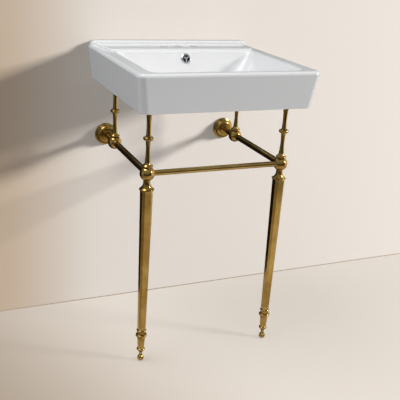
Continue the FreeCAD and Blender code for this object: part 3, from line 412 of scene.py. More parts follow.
@dataclass(frozen=True)
class AgedBrass(Finish):
    """Polished brass that has begun to darken, with fine marks from its working."""

    grain: Grain = Grain.TURNED
    bright: Colour = linear("c4a45e")
    deep: Colour = linear("a3823f")
    tarnish: Colour = linear("574420")
    worn: Colour = linear("d9bf7e")
    cloud_scale: float = 14
    smear_scale: float = 30
    blotch_scale: float = 55
    speck_scale: float = 420
    roughness: float = 0.13
    relief_depth: float = 0.00005

    def surface(self, sheet: Sheet) -> Wire:
        """Brass with clouds of tarnish, dark creases, rubbed edges and working marks.

        Args:
            sheet: The material's sheet.

        Returns:
            The surface shader.
        """
        place = sheet.place()
        cloud = sheet.noise(place, self.cloud_scale, 4, 0.6)
        smear = sheet.noise(place, self.smear_scale, 3, 0.5)
        blotch = sheet.noise(place, self.blotch_scale, 5, 0.7)
        speck = sheet.noise(place, self.speck_scale, 3, 0.6).ramp(0.66, 0.78)
        lines = sheet.noise(sheet.stretch(place, self.grain.value), 1.0, 3, 0.7)
        exposed = sheet.exposed()
        crease = (exposed * -1.0).ramp(0.25, 0.9)
        rubbed = exposed.ramp(0.35, 1.0) * (0.45 + blotch * 0.55)
        aged = (blotch.ramp(0.50, 0.78) * 0.35 + speck * 0.3).largest(crease * 0.75)
        colour = sheet.blend(cloud.ramp(0.3, 0.75), self.bright, self.deep)
        colour = sheet.blend(aged, colour, self.tarnish)
        colour = sheet.blend(rubbed * 0.7, colour, self.worn)
        rough = self.roughness + smear.ramp(0.3, 0.8) * 0.10 + aged * 0.20 + lines * 0.04
        relief = lines * 0.6 - aged * 0.5 + blotch * 0.15
        return self.principled(sheet, {
            "Base Color": colour, "Metallic": 1.0, "Roughness": rough,
            "Normal": sheet.bump(relief, self.relief_depth)})


@dataclass(frozen=True)
class PolishedChrome(Finish):
    """Chrome plate with water marks; inside its openings the plate is duller and painted dark
    as shade.
    """

    plate: Colour = linear("d6d8da")
    mark: Colour = linear("a9acae")
    # Painted shade: dark colour for the plate inside the overflow openings.
    inside_shade: Colour = linear("15130f")
    edge: float = 0.0012
    mark_scale: float = 240
    swirl_scale: float = 1800
    roughness: float = 0.28
    relief_depth: float = 0.00001

    def surface(self, sheet: Sheet) -> Wire:
        """Bright plate, a little duller in patches, dirty behind the rear wall's face.

        Args:
            sheet: The material's sheet.

        Returns:
            The surface shader.
        """
        place = sheet.place()
        _, y, z = sheet.split(place)
        inside = behind_bowl(y, z).ramp(-self.edge, self.edge * 0.5)
        marks = sheet.noise(place, self.mark_scale, 4, 0.6).ramp(0.52, 0.7)
        swirl = sheet.noise(place, self.swirl_scale, 2)
        plate = sheet.blend(marks * 0.5, self.plate, self.mark)
        return self.principled(sheet, {
            # Painted shade: the plate turns dark behind the rear wall's face, inside the
            # duct.
            "Base Color": sheet.blend(inside, plate, self.inside_shade),
            "Metallic": 1.0, "Roughness": self.roughness + marks * 0.10 + inside * 0.4,
            "Normal": sheet.bump(swirl, self.relief_depth)})


@dataclass(frozen=True)
class MouldedRubber(Finish):
    """Dark moulded rubber with a fine skin."""

    dark: Colour = linear("232120")
    dusty: Colour = linear("4a4643")
    dust_scale: float = 120
    skin_scale: float = 2600
    roughness: float = 0.62
    relief_depth: float = 0.00008

    def surface(self, sheet: Sheet) -> Wire:
        """Matt rubber, dusty in patches.

        Args:
            sheet: The material's sheet.

        Returns:
            The surface shader.
        """
        place = sheet.place()
        dust = sheet.noise(place, self.dust_scale, 4, 0.65)
        skin = sheet.noise(place, self.skin_scale, 2)
        return self.principled(sheet, {
            "Base Color": sheet.blend(dust.ramp(0.45, 0.8) * 0.6, self.dark, self.dusty),
            "Roughness": self.roughness + dust * 0.25,
            "Normal": sheet.bump(skin, self.relief_depth)})


@dataclass(frozen=True)
class ZincPlate(Finish):
    """Zinc-plated steel, cool grey with a faint yellow bloom."""

    cool: Colour = linear("a8adb2")
    bloom: Colour = linear("b5a988")
    cloud_scale: float = 90
    spangle_scale: float = 700
    roughness: float = 0.30
    relief_depth: float = 0.00003

    def surface(self, sheet: Sheet) -> Wire:
        """Plated steel with cloudy bloom.

        Args:
            sheet: The material's sheet.

        Returns:
            The surface shader.
        """
        place = sheet.place()
        cloud = sheet.noise(place, self.cloud_scale, 4, 0.6)
        spangle = sheet.noise(place, self.spangle_scale, 2)
        return self.principled(sheet, {
            "Base Color": sheet.blend(cloud.ramp(0.4, 0.75) * 0.7, self.cool, self.bloom),
            "Metallic": 1.0, "Roughness": self.roughness + cloud * 0.22,
            "Normal": sheet.bump(spangle, self.relief_depth)})


CERAMIC = GlazedCeramic("glazed_ceramic")
TURNED_BRASS = AgedBrass("turned_brass", Grain.TURNED)
FLANGE_BRASS = AgedBrass("flange_brass", Grain.TURNED_Y)
CROSS_BAR_BRASS = AgedBrass("cross_bar_brass", Grain.DRAWN_X)
SIDE_BAR_BRASS = AgedBrass("side_bar_brass", Grain.DRAWN_Y)
LEG_BRASS = AgedBrass("leg_brass", Grain.DRAWN_Z)
CHROME = PolishedChrome("polished_chrome")
RUBBER = MouldedRubber("moulded_rubber")
ZINC = ZincPlate("zinc_plate")


# ---- mesh helpers


def dress(name: str, finish: Finish) -> None:
    """Give a carried-over CAD node its finish.

    Args:
        name: The node's name.
        finish: Its finish.
    """
    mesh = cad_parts[name].data
    mesh.materials.clear()
    mesh.materials.append(finish.material())
    log.info("%s: %s", name, finish.name)


def new_piece(name: str, mesh: bpy.types.Mesh, finish: Finish, body: str, slot: str,
              *nodes: str) -> bpy.types.Object:
    """Put a finished mesh into the scene as a piece of the object.

    Args:
        name: The piece's name.
        mesh: Its mesh, already in place.
        finish: Its finish.
        body: The body that it rides on.
        slot: The record's material slot; not used.
        nodes: CAD nodes that it stands for.

    Returns:
        The piece.
    """
    piece = bpy.data.objects.new(name, mesh)
    bpy.context.scene.collection.objects.link(piece)
    mesh.materials.clear()
    mesh.materials.append(finish.material())
    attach(piece, body)
    if nodes:
        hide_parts(*nodes)
    log.info("%s: %d faces, %s", name, len(mesh.polygons), finish.name)
    return piece


def middle(name: str) -> Vector:
    """The centre of a CAD node's box."""
    low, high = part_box(name)
    return (Vector(low) + Vector(high)) / 2


def joined_copy(name: str, flat: float = 0.4) -> bpy.types.Mesh:
    """A copy of a CAD node's mesh, its loose triangles joined and its flats cleaned.

    Args:
        name: The node's name.
        flat: Faces that differ by less than this many degrees become one.

    Returns:
        The copy; the node's own mesh is left alone.
    """
    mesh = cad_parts[name].data.copy()
    work = bmesh.new()
    work.from_mesh(mesh)
    bmesh.ops.remove_doubles(work, verts=work.verts, dist=JOIN_DISTANCE)
    bmesh.ops.dissolve_limit(work, angle_limit=math.radians(flat), verts=work.verts,
                             edges=work.edges)
    work.to_mesh(mesh)
    work.free()
    return mesh


def finished(mesh: bpy.types.Mesh, name: str, softness: float, sharp: float = SHARP_ANGLE,
             chosen: Optional[Callable[[Vector], bool]] = None) -> bpy.types.Mesh:
    """Soften a mesh's edges, shade it smoothly and mark how exposed each point is.

    Args:
        mesh: The mesh to work on.
        name: The result's name.
        softness: Width of the softened edges, in metres; 0 leaves them sharp.
        sharp: Edges that turn by more than this many degrees are softened.
        chosen: Says of a point whether edges between such points are softened.

    Returns:
        The finished mesh.
    """
    mesh.shade_smooth()
    if chosen:
        weigh_edges(mesh, math.radians(sharp), chosen)
    if chosen or softness == 0:
        mesh.set_sharp_from_angle(angle=math.radians(sharp))
    carrier = carried(mesh, name)
    if softness > 0:
        bevel = carrier.modifiers.new("soft_edges", "BEVEL")
        bevel.width = softness
        bevel.segments = BEVEL_SEGMENTS
        bevel.limit_method = "WEIGHT" if chosen else "ANGLE"
        bevel.angle_limit = math.radians(sharp)
        bevel.use_clamp_overlap = False
    even = carrier.modifiers.new("even_shading", "WEIGHTED_NORMAL")
    even.weight = FACE_WEIGHT
    even.keep_sharp = True
    result = applied(carrier, name)
    mark_edges(result)
    return result


def carried(mesh: bpy.types.Mesh, name: str) -> bpy.types.Object:
    """Give a mesh a passing object, on which modifiers can work.

    Args:
        mesh: The mesh.
        name: The result's name.

    Returns:
        The object, in the scene.
    """
    carrier = bpy.data.objects.new(name + "_carrier", mesh)
    bpy.context.scene.collection.objects.link(carrier)
    return carrier


def applied(carrier: bpy.types.Object, name: str) -> bpy.types.Mesh:
    """Run a carrier's modifiers and remove the carrier.

    Args:
        carrier: The object with the modifiers.
        name: The result's name.

    Returns:
        The evaluated mesh.
    """
    bpy.context.view_layer.update()
    graph = bpy.context.evaluated_depsgraph_get()
    result = bpy.data.meshes.new_from_object(carrier.evaluated_get(graph))
    result.name = name
    carrier.modifiers.clear()
    bpy.data.objects.remove(carrier)
    return result


def weigh_edges(mesh: bpy.types.Mesh, sharp: float,
                chosen: Callable[[Vector], bool]) -> None:
    """Give the edges that are to be softened their weight.

    Args:
        mesh: The mesh whose edges are weighed.
        sharp: Edges that turn by more than this angle, in radians, may be softened.
        chosen: Says of a point whether edges between such points are softened.
    """
    work = bmesh.new()
    work.from_mesh(mesh)
    weights = [float(len(edge.link_faces) == 2 and edge.calc_face_angle(0.0) > sharp
                     and all(chosen(vert.co) for vert in edge.verts))
               for edge in work.edges]
    work.free()
    layer = mesh.attributes.new("bevel_weight_edge", "FLOAT", "EDGE")
    layer.data.foreach_set("value", weights)


def mark_edges(mesh: bpy.types.Mesh) -> None:
    """Store on each point how much it stands out (to 1) or lies in a crease (to -1).

    Args:
        mesh: The mesh that is marked.
    """
    work = bmesh.new()
    work.from_mesh(mesh)
    exposed = [0.0] * len(work.verts)
    for edge in work.edges:
        if len(edge.link_faces) != 2:
            continue
        bend = edge.calc_face_angle_signed(0.0) / FULLY_EXPOSED
        for vert in edge.verts:
            if abs(bend) > abs(exposed[vert.index]):
                exposed[vert.index] = max(-1.0, min(1.0, bend))
    work.free()
    layer = mesh.attributes.new("exposed", "FLOAT", "POINT")
    layer.data.foreach_set("value", exposed)


def refine(node: str, name: str, finish: Finish, slot: str, softness: float) -> None:
    """Replace a CAD node of the stand by a finished copy with softened edges.

    Args:
        node: The node's name.
        name: The piece's name.
        finish: Its finish.
        slot: The record's material slot.
        softness: Width of the softened edges.
    """
    new_piece(name, finished(joined_copy(node), name, softness), finish, STAND, slot, node)


def turned_mesh(name: str, profile: Sequence[tuple[float, float]], steps: int,
                centre: Vector) -> bpy.types.Mesh:
    """A closed turned mesh from a profile that starts and ends on the axis.

    Args:
        name: The mesh's name.
        profile: Pairs of radius and height, from the bottom up.
        steps: Divisions round the axis.
        centre: Where the axis stands.

    Returns:
        The mesh, its faces outwards.
    """
    work = bmesh.new()
    rings = []
    for radius, height in profile:
        count = steps if radius > 0 else 1
        rings.append([work.verts.new((
            centre.x + radius * math.cos(2 * math.pi * i / steps),
            centre.y + radius * math.sin(2 * math.pi * i / steps),
            centre.z + height)) for i in range(count)])
    for low, high in zip(rings, rings[1:]):
        for i in range(steps):
            j = (i + 1) % steps
            around = [low[i % len(low)], low[j % len(low)], high[j % len(high)],
                      high[i % len(high)]]
            corners = list(dict.fromkeys(around))
            if len(corners) > 2:
                work.faces.new(corners)
    bmesh.ops.recalc_face_normals(work, faces=work.faces)
    mesh = bpy.data.meshes.new(name)
    work.to_mesh(mesh)
    work.free()
    return mesh


# ---- geometry nodes


@dataclass
class GeometrySheet(NodeSheet):
    """A Geometry Nodes tree with named number inputs."""

    name: str
    inputs: dict[str, float]
    tree: NodeTree = field(init=False)
    start: bpy.types.Node = field(init=False)

    def __post_init__(self) -> None:
        """Make the tree and its interface."""
        self.tree = bpy.data.node_groups.new(self.name, "GeometryNodeTree")
        face = self.tree.interface
        face.new_socket("Geometry", in_out="INPUT", socket_type="NodeSocketGeometry")
        for name in self.inputs:
            face.new_socket(name, in_out="INPUT", socket_type="NodeSocketFloat")
        face.new_socket("Geometry", in_out="OUTPUT", socket_type="NodeSocketGeometry")
        self.start = self.tree.nodes.new("NodeGroupInput")

    def given(self, name: str) -> Wire:
        """One of the tree's inputs."""
        return Wire(self.tree, self.start.outputs[name])

    def base(self) -> Wire:
        """The mesh that the tree starts from."""
        return Wire(self.tree, self.start.outputs["Geometry"])

    def join(self, *parts: Wire) -> Wire:
        """Several geometries as one.

        Args:
            parts: The geometries.

        Returns:
            The joined geometry.
        """
        node = self.tree.nodes.new("GeometryNodeJoinGeometry")
        for part in parts:
            self.tree.links.new(part.socket, node.inputs[0])
        return Wire(self.tree, node.outputs[0])

    def finish(self, geometry: Wire, material: bpy.types.Material) -> None:
        """End the tree in Realize Instances and Set Material.

        Args:
            geometry: What the tree has made.
            material: The material of all of it.
        """
        real = self.node("GeometryNodeRealizeInstances", {}, {0: geometry})
        dressed = self.node("GeometryNodeSetMaterial", {},
                            {"Geometry": real, "Material": material})
        self.node("NodeGroupOutput", {}, {0: dressed})

    def mesh(self, base: bpy.types.Mesh, name: str) -> bpy.types.Mesh:
        """Run the tree on a base mesh and return the result as a plain mesh.

        Args:
            base: The mesh that the tree starts from.
            name: The result's name.

        Returns:
            The evaluated mesh, with the modifier gone.
        """
        carrier = carried(base, name)
        modifier = carrier.modifiers.new(self.name, "NODES")
        modifier.node_group = self.tree
        for item in self.tree.interface.items_tree:
            if item.item_type == "SOCKET" and item.name in self.inputs:
                modifier[item.identifier] = float(self.inputs[item.name])
        return applied(carrier, name)


# ---- sub-assemblies


@dataclass
class Basin:
    """The ceramic basin with its overflow trim."""

    node: str = "basin"
    trim: str = "overflow_trim"
    flat: float = 0.05
    softness: float = 0.0011
    sharp: float = 40.0
    trim_softness: float = 0.00025
    deck_z: float = 0.888
    tap_y: float = 0.174
    tap_step: float = 0.0508
    tap_reach: float = 0.019
    height_margin: float = 0.0002

    def soft(self, point: Vector) -> bool:
        """Say which edges of the basin are softened.

        Args:
            point: A point of the basin.

        Returns:
            Whether it lies on the apron's foot or on the edge of a tap hole.
        """
        if abs(point.z - APRON_FOOT_Z) < self.height_margin:
            return True
        on_deck = abs(point.z - self.deck_z) < self.height_margin
        return on_deck and any(
            math.hypot(point.x - step * self.tap_step, point.y - self.tap_y)
            < self.tap_reach for step in (-1, 0, 1))

    def build(self) -> None:
        """Finish the basin and the trim."""
        mesh = finished(joined_copy(self.node, self.flat), "ceramic_basin", self.softness,
                        self.sharp, self.soft)
        new_piece("ceramic_basin", mesh, CERAMIC, STAND, "glazed_ceramic", self.node)
        refine(self.trim, "overflow_ring", CHROME, "chrome", self.trim_softness)


@dataclass
class Stand:
    """Posts, hubs, bars, pads, brackets and cover flanges."""

    stations: tuple[str, ...] = ("front_left", "front_right", "rear_left", "rear_right")
    softness: float = 0.0003
    pad_softness: float = 0.0005

    def brass(self, node: str, finish: Finish) -> None:
        """One turned or drawn brass piece with softened edges."""
        refine(node, f"brass_{node}", finish, "aged_brass", self.softness)

    def build(self) -> None:
        """Finish each piece of the stand."""
        for station in self.stations:
            self.brass(f"post_{station}", TURNED_BRASS)
            self.brass(f"hub_{station}", TURNED_BRASS)
            refine(f"pad_{station}", f"rubber_pad_{station}", RUBBER, "rubber",
                   self.pad_softness)
        self.brass("front_bar", CROSS_BAR_BRASS)
        dress("post_studs", ZINC)
        for side in SIDES:
            self.brass(f"side_bar_{side}", SIDE_BAR_BRASS)
            dress(f"wall_bracket_{side}", ZINC)
            self.brass(f"wall_flange_{side}", FLANGE_BRASS)


@dataclass
class Leg:
    """One front leg: cap, octagonal shaft, ferrule and rod."""

    side: str
    foot_share: float = 21.5 / 32
    cut_share: float = 6.6 / 32
    corner_softness: float = 0.0009
    corner_steps: int = 4
    rings: int = 24
    turning_softness: float = 0.0003

    def shaft(self) -> None:
        """Build the tapered shaft, a square with cut corners, its edges softened."""
        node = f"leg_{self.side}"
        low, high = (Vector(corner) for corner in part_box(node))
        centre = (low + high) / 2
        width = high.x - low.x
        sheet = GeometrySheet("leg_shaft", {
            "Top Width": width, "Foot Share": self.foot_share,
            "Corner Cut": self.cut_share * width, "Softness": self.corner_softness,
            "Foot Height": low.z, "Top Height": high.z, "X": centre.x, "Y": centre.y})
        ends = [sheet.node("ShaderNodeCombineXYZ", {}, {
            0: sheet.given("X"), 1: sheet.given("Y"), 2: sheet.given(end)})
            for end in ("Foot Height", "Top Height")]
        line = sheet.node("GeometryNodeCurvePrimitiveLine", {},
                          {"Start": ends[0], "End": ends[1]})
        line = sheet.node("GeometryNodeResampleCurve", {},
                          {"Curve": line, "Count": self.rings})
        along = sheet.node("GeometryNodeSplineParameter", {}, {}, "Factor")
        share = sheet.node("ShaderNodeMapRange", {}, {
            "Value": along, "To Min": sheet.given("Foot Share"), "To Max": 1.0})
        square = sheet.node("GeometryNodeCurvePrimitiveQuadrilateral", {}, {
            "Width": sheet.given("Top Width"), "Height": sheet.given("Top Width")})
        octagon = sheet.node("GeometryNodeFilletCurve", {"mode": "POLY"}, {
            "Curve": square, "Radius": sheet.given("Corner Cut"), "Count": 1})
        soft = sheet.node("GeometryNodeFilletCurve", {"mode": "POLY"}, {
            "Curve": octagon, "Radius": sheet.given("Softness"),
            "Count": self.corner_steps})
        skin = sheet.node("GeometryNodeCurveToMesh", {}, {
            "Curve": line, "Profile Curve": soft, "Fill Caps": True, "Scale": share})
        sheet.finish(skin, LEG_BRASS.material())
        made = sheet.mesh(bpy.data.meshes.new("leg_base"), f"leg_shaft_{self.side}")
        mesh = finished(made, f"leg_shaft_{self.side}", 0.0)
        new_piece(f"leg_shaft_{self.side}", mesh, LEG_BRASS, STAND, "aged_brass", node)

    def build(self) -> None:
        """Build the shaft and finish the turned pieces."""
        self.shaft()
        for kind in ("leg_cap", "ferrule"):
            node = f"{kind}_{self.side}"
            refine(node, f"brass_{node}", TURNED_BRASS, "aged_brass",
                   self.turning_softness)
        dress(f"leg_rod_{self.side}", ZINC)


@dataclass
class Foot:
    """One levelling ball foot on a threaded stem, which rides on its own body."""

    side: str
    ball_radius: float = 0.010
    ball_height: float = 0.0096
    core_radius: float = 0.0043
    neck_radius: float = 0.0049
    neck_length: float = 0.0125
    thread_radius: float = 0.0049
    thread_pitch: float = 0.00125
    thread_overlap: float = 0.0001
    thread_end: float = 0.0015
    neck_slope: float = 0.0006
    end_slope: tuple[float, float] = (0.0010, 0.0012)
    divisions: int = 64
    ball_steps: int = 32
    turn_steps: int = 28

    def blank(self, centre: Vector, height: float) -> bpy.types.Mesh:
        """The turned ball, its neck and the stem's core, before the thread is wound.

        Args:
            centre: The middle of the sole.
            height: Height of the whole foot, from sole to the stem's end.

        Returns:
            The turned mesh.
        """
        sole = math.acos(self.ball_height / self.ball_radius)
        top = math.asin(self.neck_radius / self.ball_radius)
        profile = [(0.0, 0.0)]
        for step in range(self.ball_steps + 1):
            angle = sole + (math.pi - top - sole) * step / self.ball_steps
            profile.append((self.ball_radius * math.sin(angle),
                            self.ball_height - self.ball_radius * math.cos(angle)))
        neck_end = profile[-1][1] + self.neck_length
        inward, downward = self.end_slope
        profile += [(self.neck_radius, neck_end),
                    (self.core_radius, neck_end + self.neck_slope),
                    (self.core_radius, height - downward),
                    (self.core_radius - inward, height), (0.0, height)]
        return turned_mesh("foot_blank", profile, self.divisions, centre)

    def build(self) -> None:
        """Turn the foot and wind its thread."""
        node = f"foot_{self.side}"
        low, high = (Vector(corner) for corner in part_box(node))
        centre = Vector(((low.x + high.x) / 2, (low.y + high.y) / 2, low.z))
        height = high.z - low.z
        start = self.ball_height + self.ball_radius + self.neck_length
        length = height - start - self.thread_end
        sheet = GeometrySheet("foot_thread", {
            "Turns": length / self.thread_pitch, "Length": length,
            "Root Radius": self.core_radius - self.thread_overlap,
            "Ridge": self.thread_radius - self.core_radius + self.thread_overlap,
            "X": centre.x, "Y": centre.y, "Start": centre.z + start})
        coil = sheet.node("GeometryNodeCurveSpiral", {}, {
            "Resolution": self.turn_steps, "Rotations": sheet.given("Turns"),
            "Start Radius": sheet.given("Root Radius"),
            "End Radius": sheet.given("Root Radius"), "Height": sheet.given("Length")})
        ridge = sheet.node("GeometryNodeCurvePrimitiveCircle", {"mode": "RADIUS"}, {
            "Resolution": 4, "Radius": sheet.given("Ridge")})
        thread = sheet.node("GeometryNodeCurveToMesh", {}, {
            "Curve": coil, "Profile Curve": ridge, "Fill Caps": True})
        place = sheet.node("ShaderNodeCombineXYZ", {}, {
            0: sheet.given("X"), 1: sheet.given("Y"), 2: sheet.given("Start")})
        placed = sheet.node("GeometryNodeTransform", {},
                            {"Geometry": thread, "Translation": place})
        whole = sheet.join(sheet.base(), placed)
        sheet.finish(whole, TURNED_BRASS.material())
        made = sheet.mesh(self.blank(centre, height), f"levelling_foot_{self.side}")
        mesh = finished(made, f"levelling_foot_{self.side}", 0.0)
        new_piece(f"levelling_foot_{self.side}", mesh, TURNED_BRASS, f"foot_{self.side}",
                  "aged_brass", node)


@dataclass
class Fasteners:
    """The grub screws that hold the bars, each with a hexagon socket and a thread."""

    node: str = "set_screws"
    radius: float = 0.0025
    length: float = 0.005
    socket_radius: float = 0.00145
    socket_depth: float = 0.0025
    socket_flare: float = 1.06
    socket_middle: float = 0.2
    socket_lip: float = 0.0001
    chamfer: float = 0.0004
    root_share: float = 0.88
    rings: int = 5
    divisions: int = 24
    reach: float = 0.014
    bracket_reach: float = 0.011
    front_bar_rise: float = 0.0015
    largest_turn: float = 6.2832
    seed: int = 7

    def places(self) -> list[Vector]:
        """Find the screws' places.

        Returns:
            Where the outer end of each screw lies.
        """
        low, high = (Vector(corner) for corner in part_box(self.node))
        points = []
        for side, sign in SIDES.items():
            front = middle(f"post_front_{side}")
            rear = middle(f"post_rear_{side}")
            points += [Vector((front.x, front.y + self.reach, low.z)),
                       Vector((front.x - sign * self.reach, front.y,
                               low.z + self.front_bar_rise)),
                       Vector((rear.x, rear.y, low.z)),
                       Vector((front.x, WALL_Y - self.bracket_reach, low.z))]
        return points

    def screw(self) -> bpy.types.Mesh:
        """Build one screw.

        Returns:
            The screw's mesh, its outer end at the origin.
        """
        work = bmesh.new()
        steps = self.divisions

        def ring(radius: float, height: float, sides: int = 0) -> list[bmesh.types.BMVert]:
            """A ring of points, round or on the outline of a regular polygon.

            Args:
                radius: Its radius, out to the corners.
                height: Its height above the screw's outer end.
                sides: The polygon's sides, or 0 for a round ring.

            Returns:
                The points in order.
            """
            made = []
            for i in range(steps):
                turn = 2 * math.pi * i / steps
                reach = radius
                if sides:
                    half = math.pi / sides
                    reach = radius * math.cos(half) / math.cos(turn % (2 * half) - half)
                made.append(work.verts.new((reach * math.cos(turn), reach * math.sin(turn),
                                            height)))
            return made

        root = self.radius * self.root_share
        rows = [ring(self.socket_radius * self.socket_middle, self.socket_depth, 6),
                ring(self.socket_radius, self.socket_depth, 6),
                ring(self.socket_radius, self.socket_lip, 6),
                ring(self.socket_radius * self.socket_flare, 0.0, 6),
                ring(self.radius - self.chamfer, 0.0), ring(self.radius, self.chamfer)]
        pitch = (self.length - 2 * self.chamfer) / self.rings
        for step in range(self.rings):
            level = self.chamfer + step * pitch
            rows += [ring(root, level + pitch / 2), ring(self.radius, level + pitch)]
        rows.append(ring(self.radius - self.chamfer, self.length))
        for low, high in zip(rows, rows[1:]):
            for i in range(steps):
                j = (i + 1) % steps
                work.faces.new((low[i], low[j], high[j], high[i]))
        work.faces.new(rows[0])
        work.faces.new(rows[-1])
        bmesh.ops.recalc_face_normals(work, faces=work.faces)
        mesh = bpy.data.meshes.new("grub_screw")
        work.to_mesh(mesh)
        work.free()
        return mesh

    def build(self) -> None:
        """Set one screw at each place, each turned its own way."""
        pattern = bpy.data.objects.new("grub_pattern", self.screw())
        bpy.context.scene.collection.objects.link(pattern)
        sheet = GeometrySheet("grub_screws", {"Largest Turn": self.largest_turn,
                                              "Seed": self.seed})
        shape = sheet.node("GeometryNodeObjectInfo", {}, {"Object": pattern}, "Geometry")
        turn = sheet.node("FunctionNodeRandomValue", {"data_type": "FLOAT"}, {
            2: 0.0, 3: sheet.given("Largest Turn"), "Seed": sheet.given("Seed")}, 1)
        about = sheet.node("ShaderNodeCombineXYZ", {}, {2: turn})
        screws = sheet.node("GeometryNodeInstanceOnPoints", {}, {
            "Points": sheet.base(), "Instance": shape, "Rotation": about})
        sheet.finish(screws, ZINC.material())
        points = bpy.data.meshes.new("grub_places")
        points.from_pydata([tuple(point) for point in self.places()], [], [])
        made = sheet.mesh(points, "grub_screws")
        bpy.data.objects.remove(pattern)
        mesh = finished(made, "grub_screws", 0.0)
        new_piece("grub_screws", mesh, ZINC, STAND, "steel", self.node)


# ---- stage, light, camera


@dataclass(frozen=True)
class StagePaint(Finish):
    """Matt paint that shows a share of its colour as its own light, which lifts shadows."""

    own_light: float = 0.5
    roughness: float = 0.9
    gloss: float = 0.1

    def paint(self, sheet: Sheet, colour: Wire, seen: Wire, share: Any) -> Wire:
        """Matt paint mixed with a plain glow.

        Args:
            sheet: The material's sheet.
            colour: The matt paint's colour.
            seen: The glow's colour.
            share: The glow's share, from 0 to 1.

        Returns:
            The mixed shader.
        """
        matt = self.principled(sheet, {
            "Base Color": colour, "Roughness": self.roughness,
            "Specular IOR Level": self.gloss})
        glow = sheet.node("ShaderNodeEmission", {}, {"Color": seen, "Strength": 1.0})
        return sheet.node("ShaderNodeMixShader", {}, {0: share, 1: matt, 2: glow})

    @staticmethod
    def shown(sheet: Sheet, share: Wire, paint: Wire) -> Wire:
        """The paint where the share is one, and nothing where it is zero."""
        clear = sheet.node("ShaderNodeBsdfTransparent")
        return sheet.node("ShaderNodeMixShader", {}, {0: share, 1: clear, 2: paint})


@dataclass(frozen=True)
class FloorPaint(StagePaint):
    """Matt floor, painted darker towards the left as shade; its warm tint shows to camera and
    gloss, its bounce is neutral.
    """

    tint: Colour = linear("f5ebdf")
    # Painted shade: the colour the floor takes towards the left.
    shade: Colour = linear("b09e89")
    neutral: Colour = linear("d9d8d7")
    slant: float = 0.3
    shade_end: float = -0.95
    light_start: float = 0.05
    fade_start: float = 1.25
    fade_end: float = 2.2
    right_start: float = 0.9
    right_end: float = 1.2

    def surface(self, sheet: Sheet) -> Wire:
        """Matt paint that fades from reflections far from the sink.

        Args:
            sheet: The material's sheet.

        Returns:
            The surface shader.
        """
        camera = sheet.node("ShaderNodeLightPath", output="Is Camera Ray")
        gloss = Wire(sheet.tree, camera.socket.node.outputs["Is Glossy Ray"])
        x, y, _ = sheet.split(sheet.place())
        # Painted shade: the floor darkens towards the left and a little towards the front.
        light = (x + y * self.slant).ramp(self.shade_end, self.light_start)
        seen = sheet.blend(light, self.shade, self.tint)
        colour = sheet.blend(camera.largest(gloss), self.neutral, seen)
        paint = self.paint(sheet, colour, seen, camera * self.own_light)
        away = ((x * x + y * y) ** 0.5).ramp(self.fade_start, self.fade_end)
        hidden = away.largest(x.ramp(self.right_start, self.right_end))
        return self.shown(sheet, 1.0 - hidden.largest(y > WALL_Y) * gloss, paint)


@dataclass(frozen=True)
class WallPaint(StagePaint):
    """Pale wall, painted darker towards the left as shade, shown to the camera from its front
    alone.
    """

    own_light: float = 0.22
    tint: Colour = linear("cdc6be")
    # Painted shade: the colour the wall takes towards the left.
    shade: Colour = linear("b3a08b")
    joint: Colour = linear("a39382")
    shade_end: float = -0.58
    light_start: float = -0.18
    joint_height: float = 0.004

    def surface(self, sheet: Sheet) -> Wire:
        """Matt paint with painted shade towards the left, paler to the right, with a dark
        joint at the floor.

        Args:
            sheet: The material's sheet.

        Returns:
            The surface shader.
        """
        camera = sheet.node("ShaderNodeLightPath", output="Is Camera Ray")
        behind = sheet.node("ShaderNodeNewGeometry", output="Backfacing")
        x, _, z = sheet.split(sheet.place())
        # Painted shade: the wall darkens towards the left.
        light = x.ramp(self.shade_end, self.light_start)
        colour = sheet.blend(light, self.shade, self.tint)
        colour = sheet.blend(z > self.joint_height, self.joint, colour)
        paint = self.paint(sheet, colour, colour, self.own_light)
        return self.shown(sheet, camera * (1.0 - behind), paint)


class WallLight(Enum):
    """How a lamp treats the wall behind the sink."""

    LIT = ""
    ALONE = "INCLUDE"
    UNLIT = "EXCLUDE"


@dataclass(frozen=True)
class Lamp:
    """One soft square lamp, turned towards the sink."""

    name: str
    place: tuple[float, float, float]
    width: float
    power: float
    colour: Colour
    wall_light: WallLight = WallLight.UNLIT
    aim: tuple[float, float, float] = (0.0, 0.0, 0.55)

    def build(self, wall: bpy.types.Object) -> None:
        """Make the lamp.

        Args:
            wall: The wall, which the lamp may leave out or light alone.
        """
        data = bpy.data.lights.new(self.name, "AREA")
        data.size = self.width
        data.energy = self.power
        data.color = self.colour
        lamp = bpy.data.objects.new(self.name, data)
        lamp.location = self.place
        ahead = Vector(self.aim) - Vector(self.place)
        lamp.rotation_euler = ahead.to_track_quat("-Z", "Y").to_euler()
        bpy.context.scene.collection.objects.link(lamp)
        if self.wall_light is not WallLight.LIT:
            group = bpy.data.collections.new(f"{self.name}_wall")
            group.objects.link(wall)
            group.collection_objects[0].light_linking.link_state = self.wall_light.value
            lamp.light_linking.receiver_collection = group


LAMPS = (
    Lamp("key_lamp", (3.0, -1.9, 2.2), 0.5, 54, (1.0, 0.98, 0.96)),
    Lamp("top_lamp", (-1.0, 0.0, 2.8), 1.4, 31, (0.98, 0.99, 1.0)),
    Lamp("side_lamp", (-3.2, 0.0, 0.6), 2.1, 4, (0.96, 0.97, 1.0), WallLight.LIT),
    Lamp("wall_lamp", (12.7, -4.3, 5.2), 2.2, 5800, (1.0, 0.99, 0.98), WallLight.ALONE),
)


